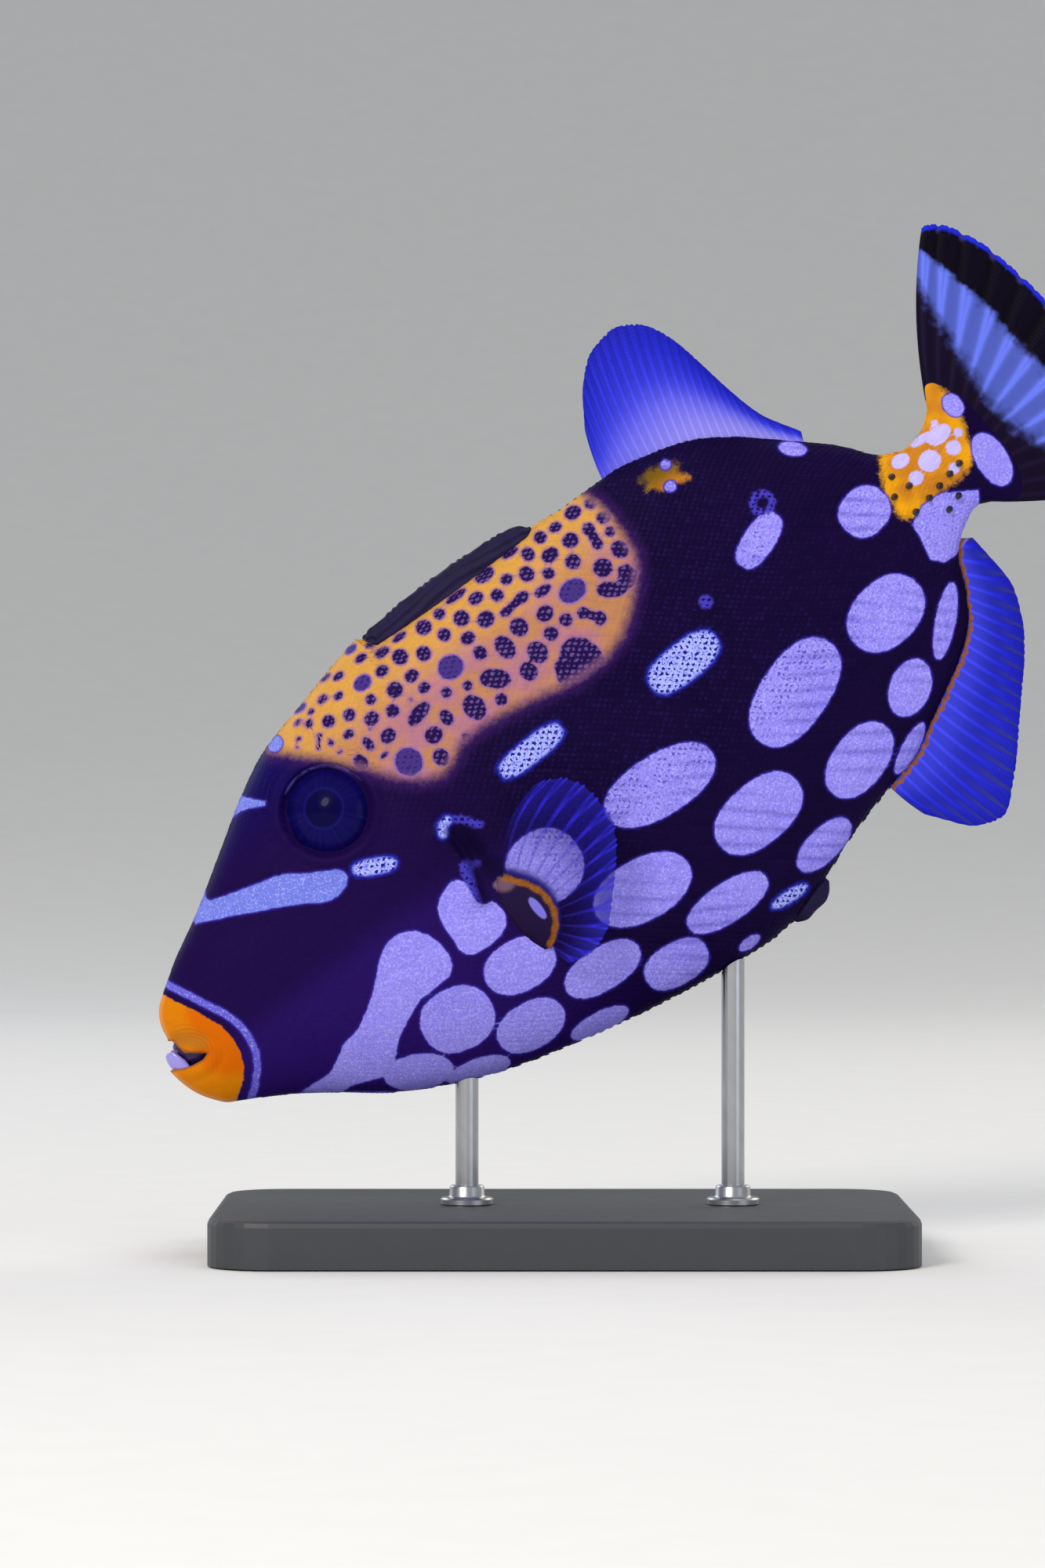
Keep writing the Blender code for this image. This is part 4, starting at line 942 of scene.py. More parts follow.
        # The faint blue-violet dots on the dark skin are painted highlights on the plates' middles.
        return painted(
            "#0C0226", (cloud, "#160638"), (front, face), (times(pores_and_glints, 0.07), "#4A3FB4"),
            (inside("saddle", -4.6, 0.8, 1.8), "#36175A"), (saddle, gold),
            (times(times(inside("dark_spot", -0.8, -0.1), saddle), 0.8), "#8E5F96"),
            (times(inside("violet_spot", -0.8, -0.1), saddle), "#8460A8"),
            (times(inside("dark_spot", -0.2, 0.2), saddle), ink),
            (times(inside("violet_spot", -0.2, 0.2), saddle), violet_ink),
            (inside("yolk", -1.4, 0.8, 2.0), yolk),
            (inside("pale", -0.7, 0.1), "#33259A"), (inside("pale", -0.15, 0.25, 0.55), milky),
            (inside("yolk_dot", -0.3, 0.3), "#C0B6F4"),
            (times(inside("dim", -0.5, 0.6, 1.0), 0.85), painted("#4A40C4", (tip, "#1A1058"))),
            (inside("speckled", -0.9, 0.4, 0.8), "#1F24A8"), (inside("speckled", -0.1, 1.0, 0.6), chalk),
            # The near-black over the gill's hollow and slit is painted shade.
            (times(inside("cavity", -2.4, 1.8, 1.6), 0.85), "#0B0428"),
            (inside("tissue", -0.8, 0.6, 1.2), "#7C6272"),
            # The pale arc over the eye's upper rim is a painted highlight.
            (times(inside("eye_rim_highlight", -0.3, 0.15, 0.1), 0.7), "#6C64D0"),
            (inside("mask", -0.25, 0.25), orange),
        )  # fmt: skip

    def build(self) -> Material:
        """Makes the material."""
        material, tree, shader = self.start()
        colour = self.marked(tree)
        uneven = counted(tree, "MULTIPLY_ADD", stored(tree, "shade"), 0.12, 0.94)
        grey = add_node(tree, "ShaderNodeCombineXYZ", n0=uneven, n1=uneven, n2=uneven).outputs[0]
        settings = {"data_type": "RGBA", "blend_type": "MULTIPLY"}
        dark = add_node(tree, "ShaderNodeMix", settings, n0=1.0, n6=colour, n7=grey)
        tree.links.new(dark.outputs[2], shader.inputs["Base Color"])
        self.bumped(tree, shader, noise_at(tree, 0.35, 3.0), 0.03)
        return material


@dataclass(frozen=True)
class Membrane(Finish):
    """Clear cast resin of a fin: milky where it is thick, glassy where it is thin.

    The eye gets bony rays with finer cross joints, a tinted web between them and an edge
    that light shines through.
    """

    tints: tuple = ()
    web_alpha: float = 0.8
    tip_alpha: float = 0.5
    ray_light: float = 0.4
    ray_alpha: float = 0.3
    ragged: float = 0.05
    joints_per_mm: float = 0.33

    def build(self) -> Material:
        """Makes the material: tints by the share from root to edge, clearer between rays."""
        material, tree, shader = self.start()
        share = stored(tree, "share")
        ray = stored(tree, "ray")
        wobble = counted(tree, "SUBTRACT", noise_at(tree, 2.5, 2.0, (1.0, 1.0, 1.0)), 0.5)
        shifted = counted(tree, "MULTIPLY_ADD", wobble, self.ragged, stored(tree, "band"))
        colour = self.tints[0][1]
        for low, high, tint in [(t[0] - t[2], t[0] + t[2], t[1]) for t in self.tints[1:]]:
            colour = blended(tree, ranged(tree, shifted, low, high), colour, tint)
        gain = counted(tree, "MULTIPLY_ADD", ray, self.ray_light, 1.0)
        scale = {"operation": "SCALE"}
        marks = add_node(tree, "ShaderNodeVectorMath", scale, n0=colour, Scale=gain).outputs[0]
        marks = blended(tree, ranged(tree, stored(tree, "pale"), -0.2, 0.3), marks, "#7A74DC")
        marks = blended(tree, ranged(tree, stored(tree, "tissue"), -0.8, 0.8), marks, "#6A4E60")
        tan = blended(tree, noise_at(tree, 1.0, 2.0), "#63340F", "#A8661E")
        marks = blended(tree, ranged(tree, stored(tree, "tan"), -0.3, 0.5), marks, tan)
        tree.links.new(marks, shader.inputs["Base Color"])
        clear = ranged(tree, share, 0.2, 1.0)
        thin = counted(tree, "MULTIPLY_ADD", clear, self.tip_alpha - self.web_alpha, self.web_alpha)
        solid = counted(tree, "MULTIPLY_ADD", ray, self.ray_alpha, thin)
        opaque = counted(tree, "MAXIMUM", stored(tree, "opaque"), solid)
        tree.links.new(counted(tree, "MINIMUM", opaque, 1.0), shader.inputs["Alpha"])
        along = counted(tree, "MULTIPLY", stored(tree, "reach"), self.joints_per_mm)
        where = add_node(tree, "ShaderNodeCombineXYZ", n0=along).outputs[0]
        bands = {"wave_type": "BANDS", "bands_direction": "X"}
        joints = add_node(tree, "ShaderNodeTexWave", bands, Scale=1.0, Vector=where)
        relief = counted(tree, "MULTIPLY", joints.outputs["Fac"], ray)
        self.bumped(tree, shader, counted(tree, "MULTIPLY_ADD", noise_at(tree, 0.5), 0.5, relief), 0.05)
        return material


@dataclass(frozen=True)
class Worked(Finish):
    """A worked surface: blotches of a second colour, uneven gloss and fine relief.

    The eye gets a surface that isn't one flat colour, with grain at the given real size.
    """

    second: str = "#000000"
    grain_mm: float = 1.0
    depth_mm: float = 0.02
    stretch: tuple | None = None
    gloss_change: float = 0.1

    def build(self) -> Material:
        """Makes the material."""
        material, tree, shader = self.start()
        grain = noise_at(tree, self.grain_mm, 3.0, self.stretch)
        wide = noise_at(tree, self.grain_mm * 12, 2.0, self.stretch)
        tree.links.new(blended(tree, wide, self.colour, self.second), shader.inputs["Base Color"])
        glossiest = self.roughness - self.gloss_change / 2
        gloss = counted(tree, "MULTIPLY_ADD", wide, self.gloss_change, glossiest)
        tree.links.new(gloss, shader.inputs["Roughness"])
        self.bumped(tree, shader, grain, self.depth_mm)
        return material


def linked(name: str, data: bpy.types.ID) -> Object:
    """A new object of the scene with this mesh, lamp or lens."""
    holder = bpy.data.objects.new(name, data)
    bpy.context.scene.collection.objects.link(holder)
    return holder


def mesh_object(name: str, points: Points, faces: Sequence, material: Material) -> Object:
    """A smooth-shaded object, with its place in its mesh.

    Args:
        name: The piece's name.
        points: Its points in metres, in the stand's frame.
        faces: The numbers of each face's points.
        material: Its finish.

    Returns:
        The object, linked to the scene.
    """
    mesh = bpy.data.meshes.new(name)
    mesh.from_pydata(np.asarray(points).reshape(-1, 3).tolist(), [], [tuple(map(int, f)) for f in faces])
    mesh.materials.append(material)
    mesh.shade_smooth()
    return linked(name, mesh)


def outwards(piece: Object, weld_mm: float = 0.0) -> Object:
    """Turns every face outwards, after it merges points that coincide if weld_mm says so."""
    shape = bmesh.new()
    shape.from_mesh(piece.data)
    if weld_mm:
        bmesh.ops.remove_doubles(shape, verts=shape.verts, dist=weld_mm * MM)
        bmesh.ops.dissolve_degenerate(shape, edges=shape.edges, dist=1e-8)
    bmesh.ops.recalc_face_normals(shape, faces=shape.faces)
    shape.to_mesh(piece.data)
    shape.free()
    return piece


def welded(piece: Object, distance_mm: float = 0.004) -> Object:
    """Merges points that coincide, turns every face outwards and shades the piece smooth."""
    outwards(piece, distance_mm).data.shade_smooth()
    return piece


def grid_faces(rows: int, columns: int, start: int = 0, wrap: bool = False) -> list[tuple[int, ...]]:
    """The four-cornered faces of a grid of points.

    Args:
        rows: How many rows of points.
        columns: How many points in a row.
        start: The number of the first point.
        wrap: Whether each row closes on itself.

    Returns:
        The faces.
    """
    faces = []
    for row in range(rows - 1):
        first = start + row * columns
        for column in range(columns if wrap else columns - 1):
            after = (column + 1) % columns
            faces.append((first + column, first + after, first + columns + after, first + columns + column))
    return faces


def slab(
    name: str, grid: Points, middle: Points, half: Points, marks: dict, material: Material
) -> Object:
    """A closed sheet with a left and a right face, such as a fin.

    Args:
        name: The piece's name.
        grid: Its places in the side view: rows, columns, (s, h).
        middle: The y of its middle at each place.
        half: Half its thickness at each place.
        marks: Further values at each place, by name.
        material: Its finish.

    Returns:
        The object.
    """
    rows, columns = grid.shape[:2]
    count = rows * columns
    s, h = grid[..., 0], grid[..., 1]
    points = np.concatenate([place(s, middle - half, h), place(s, middle + half, h)]).reshape(-1, 3)
    faces = grid_faces(rows, columns) + [f[::-1] for f in grid_faces(rows, columns, count)]
    ring = [*range(columns), *range(2 * columns - 1, count, columns)]
    ring += [*range(count - 2, count - columns - 1, -1), *range(count - 2 * columns, 0, -columns)]
    faces += [(b, a, a + count, b + count) for a, b in zip(ring, ring[1:] + ring[:1])]
    piece = mesh_object(name, points, faces, material)
    marks = {"tan": 0 * s - 1, **marks}
    write_marks(piece.data, {n: np.tile(np.ravel(v), 2) for n, v in marks.items()})
    return outwards(piece)


@dataclass
class Build:
    """What the sub-assemblies hand their pieces to."""

    pieces: list = field(default_factory=list)

    def add(self, piece: Object, slot: str, *nodes: str) -> Object:
        """Makes a piece part of the model.

        Args:
            piece: The finished piece.
            slot: The record's material slot that it stands for; not used.
            *nodes: The nodes of the solids that it stands for.

        Returns:
            The piece.
        """
        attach(piece, BODY)
        if nodes:
            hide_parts(*nodes)
        self.pieces.append(piece)
        LOG.info("%s: %d faces", piece.name, len(piece.data.polygons))
        return piece


@dataclass
class Trunk:
    """The ribs that the skin and its plates are laid out on, from the lips to the tail fin."""

    corner_top: float = 5.2
    corner_bottom: float = 4.2
    ribs: tuple = (Rib(30, 30, 6), Rib(90, 95, 6), Rib(170, 165, 2), Rib(232, 244, 0), Rib(256.4, 255.6, 3))
    tail_axis: float = math.radians(11.5)
    tail_origin: tuple[float, float] = (257.0, 0.0)
    tail_edge: tuple = (
        (44, 0), (44.4, 9.5), (45.1, 19.5), (45, 29), (43.3, 38.4), (40.6, 44.6), (37.2, 47.5),
    )  # fmt: skip
    tail_flesh: float = 0.26
    tail_bulge: float = 0.045
    # The tail fin's wave: its height, how fast it turns across the fan, and its offset to the right.
    tail_wave: tuple[float, float, float] = (3.2, 2.6, 1.8)

    def __post_init__(self) -> None:
        """Finds the rib through the mouth's corner, and the curves through all the ribs."""
        corner_s, corner_h = SHAPE.mouth_corner
        high, low = SHAPE.ends(Rib(self.corner_top, self.corner_bottom, 0))
        level = (2 * corner_h - high - low) / (high - low)
        straight = self.corner_bottom + (self.corner_top - self.corner_bottom) * (level + 1) / 2
        first = Rib(self.corner_top, self.corner_bottom, (corner_s - straight) / (1 - level**2))
        middle = float(SHAPE.widest_of(np.array((first.top + first.bottom) / 2)))
        self.corner_angle = math.asin((corner_h - middle) / (middle - low))
        keys = [first, *self.ribs]
        self.places = [(rib.top + rib.bottom) / 2 for rib in keys]
        columns = zip(*[vars(rib).values() for rib in keys])
        self.curves = [through(list(zip(self.places, column))) for column in columns]

    def rib(self, at: float) -> Rib:
        """The rib whose ends are at this place on the average."""
        return Rib(*[float(curve(np.array(at))) for curve in self.curves])

    def tail_rays(self, across: Array, share: Array) -> Points:
        """Places in the side view on the tail fin.

        Args:
            across: 1 at the fin's upper edge, -1 at its lower edge.
            share: 0 where it meets the stalk, 1 at its rear edge.

        Returns:
            (s, h), with share's axis first.
        """
        root = self.rib(self.places[-1])
        high, low = SHAPE.ends(root)
        h = (high + low + across * (high - low)) / 2
        s = root.bottom + (root.top - root.bottom) * (across + 1) / 2 + root.bow * (1 - across**2)
        edge = curve_through(self.tail_edge)(np.abs(across))
        along, up = edge[:, 0], edge[:, 1] * np.sign(across)
        cos, sin = math.cos(self.tail_axis), math.sin(self.tail_axis)
        tips = np.array(self.tail_origin) + np.stack([along * cos - up * sin, along * sin + up * cos], -1)
        return rays_between(np.stack([s, h], axis=-1), tips, share, self.tail_bulge * across * np.abs(across))

    def tail_middle(self, across: Array, share: Array) -> Array:
        """The y of the tail fin's middle, which waves a little."""
        height, turns, offset = self.tail_wave
        return (height * np.sin(across * turns) + offset)[None, :] * share[:, None] ** 1.8


def rays_between(roots: Points, tips: Points, share: Array, bulge: Array) -> Points:
    """A grid whose columns run from root to tip, bowed by bulge times their length."""
    part = share[:, None, None]
    chord = tips - roots
    normal = np.stack([-chord[:, 1], chord[:, 0]], axis=-1)
    return roots + chord * part + normal * (bulge[:, None] * 4 * part * (1 - part))


def edge_line(curve: Curve, start: float, end: float, parts: Array, off: float) -> Points:
    """Points off the back or the belly by a distance, evenly along it.

    Args:
        curve: The outline, as h against s.
        start: Where the line starts.
        end: Where it ends.
        parts: Where on it the points are, from 0 to 1.
        off: How far towards the back the points are moved off the outline.

    Returns:
        The points' (s, h).
    """
    s = np.linspace(start, end, 400)
    line = np.stack([s, curve(s)], axis=-1)
    run = run_along(line)
    even = np.interp(parts * run[-1], run, s)
    slope = (curve(even + 0.2) - curve(even - 0.2)) / 0.4
    out = np.stack([-slope, np.ones_like(slope)], axis=-1) / np.hypot(slope, 1)[:, None]
    return np.stack([even, curve(even)], axis=-1) + out * off


TRUNK = Trunk()


def patch(first: Points, last: Points, left: Points, right: Points, u: Array, t: Array) -> Points:
    """A smooth grid between four curves.

    Args:
        first: The edge at t = 0, a point for each u.
        last: The edge at t = 1.
        left: The edge at u = 0, a point for each t.
        right: The edge at u = 1.
        u: The places along the first two, from 0 to 1.
        t: The places along the other two.

    Returns:
        The grid: t, u, (s, h).
    """
    u, t = u[None, :, None], t[:, None, None]
    ruled = (1 - t) * first[None] + t * last[None] + (1 - u) * left[:, None] + u * right[:, None]
    corners = (1 - t) * ((1 - u) * first[0] + u * first[-1]) + t * ((1 - u) * last[0] + u * last[-1])
    return ruled - corners


def along_line(line: Points, parts: Array) -> Points:
    """Points at shares of a line's length."""
    run = run_along(line)
    return np.stack([np.interp(parts * run[-1], run, line[:, k]) for k in (0, 1)], axis=-1)


@dataclass
class Skin:
    """One skin over the head, the trunk, the lips and the root of the tail fin."""

    finish: Material
    rows_above: int = 62
    rows_below: int = 56
    lip_columns: int = 44
    upper_front: float = 1.2
    lower_front: float = -1.0
    curve_points: int = 200
    tail_rows: int = 18
    shade: float = 0.4
    steps: tuple = (
        (4.7, 0.2), (14, 0.36), (24, 0.8), (40, 1.1), (60, 1.1), (84, 0.8), (96, 0.55), (106, 0.5),
        (114, 0.9), (150, 1.15), (225, 1.1), (240, 0.7), (256, 0.5),
    )  # fmt: skip

    def body_grid(self) -> Points:
        """The grid from the mouth's corner to the stalk: ribs, points down a rib, (s, h)."""
        step = through(self.steps)
        above = np.linspace(math.pi / 2, TRUNK.corner_angle, self.rows_above + 1)
        below = np.linspace(TRUNK.corner_angle, -math.pi / 2, self.rows_below + 1)
        self.angles = np.concatenate([above, below[1:]])
        at = [TRUNK.places[0]]
        while at[-1] < TRUNK.places[-1]:
            at.append(at[-1] + float(step(np.array(at[-1]))))
        at[-1] = TRUNK.places[-1]
        return np.stack([SHAPE.rib_points(TRUNK.rib(place_), self.angles) for place_ in at])

    def lips_grids(self, corner: Points) -> tuple[Points, Points]:
        """The grids of the upper and of the lower lip.

        Args:
            corner: The rib through the mouth's corner.

        Returns:
            Both grids: points from the front back, points across, (s, h).
        """
        u = 1 - np.cos(np.linspace(0, math.pi / 2, self.lip_columns + 1))
        upper_rib, lower_rib = corner[: self.rows_above + 1], corner[self.rows_above :]
        grids = []
        for rib, gape, curve, front, up in (
            (upper_rib, SHAPE.gape_top, SHAPE.back_of, self.upper_front, True),
            (lower_rib, SHAPE.gape_bottom, SHAPE.belly_of, self.lower_front, False),
        ):
            run = run_along(rib)
            t = run / run[-1]
            lip = curve_through(gape, even=False)(np.linspace(0, 1, self.curve_points))
            rim_s = np.linspace(front, rib[0 if up else -1, 0], self.curve_points)
            rim = np.stack([rim_s, curve(rim_s)], axis=-1)
            nose_s = np.linspace(lip[0, 0], front, self.curve_points)
            nose = np.stack([nose_s, curve(nose_s)], axis=-1)
            nose[0] = lip[0]
            lip, rim = along_line(lip, u), along_line(rim, u)
            if up:
                grid = patch(rim, lip, along_line(nose[::-1], t), rib, u, t)
            else:
                grid = patch(lip, rim, along_line(nose, t), rib, u, t)
            grids.append(grid.transpose(1, 0, 2))
        return grids[0], grids[1]

    def tail_block(self, last: Points, side: Side) -> Points:
        """The skin that runs out over the root of the tail fin, until it meets its other side."""
        high, low = last[0, 1], last[-1, 1]
        across = np.clip((2 * last[:, 1] - high - low) / (high - low), -1, 1)
        share = np.linspace(0, TRUNK.tail_flesh, self.tail_rows)
        grid = TRUNK.tail_rays(across, share)
        flesh = SHAPE.half_width(last[:, 0], last[:, 1])
        swell = (1 - share / TRUNK.tail_flesh) ** 1.6
        y = TRUNK.tail_middle(across, share) + side.value * flesh[None, :] * swell[:, None]
        return np.stack([grid[..., 0], y, grid[..., 1]], axis=-1)

    def build(self, build: Build) -> None:
        """Makes the skin, and keeps the lips' edges for the mouth's lining."""
        body = self.body_grid()
        upper, lower = self.lips_grids(body[0])
        points, faces = [], []
        edges = {}
        for side in Side:
            blocks = []
            for name, grid in (("upper", upper), ("lower", lower), ("body", body)):
                y = SHAPE.half_width(grid[..., 0], grid[..., 1])
                if name == "body":
                    y[:, 0] = y[:, -1] = 0
                else:
                    rim, lip = (0, -1) if name == "upper" else (-1, 0)
                    y[0] = 0
                    y[:, rim] = 0
                    edges[name, side] = (grid[:, lip], y[:, lip])
                blocks.append(np.stack([grid[..., 0], side.value * y, grid[..., 1]], axis=-1))
            blocks.append(self.tail_block(body[-1], side))
            for block in blocks:
                start = sum(len(p) for p in points)
                points.append(place(block[..., 0], block[..., 1], block[..., 2]).reshape(-1, 3))
                faces += grid_faces(*block.shape[:2], start)
        skin = welded(mesh_object("skin", np.concatenate(points), faces, self.finish))
        write_marks(skin.data, {"shade": np.full(len(skin.data.vertices), self.shade)})
        build.add(skin, "dark_skin", "head", "torso", "rear_body", "tail_base", "lips")
        self.edges = edges


@dataclass
class Mouth:
    """The lining of the mouth between the lips, the flesh in it, and the teeth."""

    lining: Material
    enamel: Material
    edges: dict
    lining_depth: float = 1.8
    flesh_centre: tuple[float, float] = (5.8, -5.4)
    flesh_reach: tuple[float, float, float] = (5.5, 5.4, 5.4)
    tooth_thickness: float = 2.3
    tooth_columns: int = 10
    jaw_turn: float = math.radians(88)
    # Each jaw: how many teeth, its curve's centre, how far it reaches forward, its half width.
    lower_jaw: tuple = (3, 1.7, 3.4, 3.9)
    upper_jaw: tuple = (4, 4.6, 2.0, 3.3)
    lower_tips: tuple = (
        (-4, -3.9), (-2.8, -3.0), (-1.6, -2.4), (0, -2.5), (0.8, -4.1), (1.5, -5.9), (3, -7.4),
    )  # fmt: skip
    upper_gum: tuple = ((0.0, 0.6), (5.0, -1.8))
    upper_tips: tuple = ((1.0, -2.6), (3.0, -3.2), (5.0, -4.6))
    # A tooth from root to tip: shares of its height, and of its thickness there.
    crown: tuple = (
        (-0.5, 0.9), (0.0, 1.0), (0.2, 1.1), (0.4, 1.1), (0.6, 1.0), (0.78, 0.82), (0.92, 0.5), (1.0, 0.0),
    )  # fmt: skip

    def lining_piece(self, name: str, inward: tuple[float, float], deep: float) -> Object:
        """The inner side of one lip, from its left edge to its right edge."""
        line, y = self.edges[name, Side.LEFT]
        f = np.linspace(-1, 1, 33)
        part = np.linspace(0, 1, len(line))
        depth = deep * np.sin(part * math.pi / 2) ** 0.7
        push = depth[:, None] * (1 - np.abs(f[None, :]) ** 2.5)
        turn = part[:, None] ** 3
        s = line[:, :1] + push * (inward[0] * (1 - turn) + turn)
        h = line[:, 1:] + push * (inward[1] * (1 - turn) - 0.15 * turn)
        # A hair's breadth under the lip's edge, so that the two never share a face.
        across = y[:, None] * f[None, :] * (1 - 1e-4)
        return mesh_object(f"mouth_lining_{name}", place(s, across, h), grid_faces(*s.shape), self.lining)

    def flesh(self) -> Object:
        """The dark wrinkled flesh that fills the mouth behind the teeth."""
        turn = full_turn(48)[None, :]
        tilt = np.linspace(-math.pi / 2, math.pi / 2, 33)[:, None]
        crease = 1 + 0.05 * np.cos(tilt * 14 + np.sin(turn * 3))
        middle_s, middle_h = self.flesh_centre
        long, wide, high = self.flesh_reach
        s = middle_s + long * crease * np.cos(tilt) ** 0.7 * np.cos(turn)
        y = (wide - 0.5 * np.cos(turn)) * np.cos(tilt) ** 0.6 * np.sin(turn)
        h = middle_h + high * np.sin(tilt) - 0.16 * (s - middle_s + 0.2)
        faces = grid_faces(*s.shape, wrap=True)
        return welded(mesh_object("mouth_flesh", place(s, y, h), faces, self.lining))

    def teeth(self, name: str, jaw: tuple[int, float, float, float], gum: Curve, tips: Curve) -> Object:
        """A row of rounded teeth, fused at their sides, on the curve of one jaw.

        Args:
            name: The piece's name.
            jaw: The number of teeth, the curve's centre, its reach forward and its half width.
            gum: The height of the lip at the teeth's roots, against s.
            tips: The height of their tips, against s.

        Returns:
            The object.
        """
        count, back, reach, half = jaw
        columns = count * self.tooth_columns + 1
        turn = np.linspace(-1, 1, columns) * self.jaw_turn
        s, y = back - reach * np.cos(turn), half * np.sin(turn)
        out = np.stack([-np.cos(turn) / reach, np.sin(turn) / half], axis=-1)
        out /= np.linalg.norm(out, axis=-1, keepdims=True)
        crown = np.sqrt(np.clip(1 - (2 * (np.linspace(0, count, columns) % 1) - 1) ** 4, 0, 1))
        thick = self.tooth_thickness / 2 * (0.6 + 0.4 * crown) * (1 - 0.3 * np.sin(turn) ** 2)
        rows = []
        for sign, order in ((1, self.crown), (-1, self.crown[-2::-1])):
            for level, width in order:
                plan = np.stack([s, y], axis=-1) + out * (sign * width * thick)[:, None]
                root = gum(plan[:, 0])
                h = root + (tips(s) - root) * level * (0.76 + 0.24 * crown)
                rows.append(place(plan[:, 0], plan[:, 1], h))
        grid = np.stack(rows)
        faces = grid_faces(*grid.shape[:2])
        for column in (0, columns - 1):
            faces.append(tuple(row * columns + column for row in range(len(rows))))
        return welded(mesh_object(name, grid, faces, self.enamel))

    def build(self, build: Build) -> None:
        """Makes the mouth's pieces."""
        for name, inward in (("upper", (0.75, 0.35)), ("lower", (0.3, -0.8))):
            build.add(self.lining_piece(name, inward, self.lining_depth), "orange_lips")
        build.add(self.flesh(), "dark_skin")
        for name, jaw, gum, tips in (
            ("lower", self.lower_jaw, SHAPE.gape_bottom[:5], self.lower_tips),
            ("upper", self.upper_jaw, self.upper_gum, self.upper_tips),
        ):
            row = self.teeth(f"{name}_teeth", jaw, through(gum), through(tips))
            build.add(row, "tooth_enamel", f"teeth_{name}")


@dataclass
class Eye:
    """An eyeball under its clear, slightly bulging window."""

    side: Side
    finish: Material
    radius: float = 12.1
    deep: float = 7.0
    sunk: float = 3.7
    bulge: float = 0.7
    bulge_wide: float = 4.6
    rings: int = 64
    columns: int = 96

    def build(self, build: Build) -> None:
        """Makes the eyeball, with the distance from its axis and the turn round it on its points."""
        centre, out = (a[0] for a in SHAPE.skin_place(*np.array(SHAPE.eye).reshape(2, 1), self.side))
        tilt = np.linspace(0, math.pi, self.rings + 1)[:, None]
        turn = full_turn(self.columns)[None, :]
        x, y = (self.radius * np.sin(tilt) * f(turn) for f in (np.cos, np.sin))
        off = np.hypot(x, y)
        z = self.deep * np.cos(tilt) + self.bulge * bump(off, self.bulge_wide) * (np.cos(tilt) > 0) + 0 * turn
        across = np.cross(out, (0, 0, 1))
        across /= np.linalg.norm(across)
        frame = np.stack([across, np.cross(across, out), out])
        points = np.stack([x, y, z], axis=-1) @ frame + centre - out * self.sunk
        name = f"eye_{self.side.name.lower()}"
        faces = grid_faces(*off.shape, wrap=True)
        ball = mesh_object(f"{name}_ball", place(*np.moveaxis(points, -1, 0)), faces, self.finish)
        some = np.maximum(off, 1e-6)
        for mark, value in (("off_axis", off), ("turn_x", x / some), ("turn_y", y / some)):
            write_value(ball.data, mark, value)
        build.add(welded(ball), "eye", name)


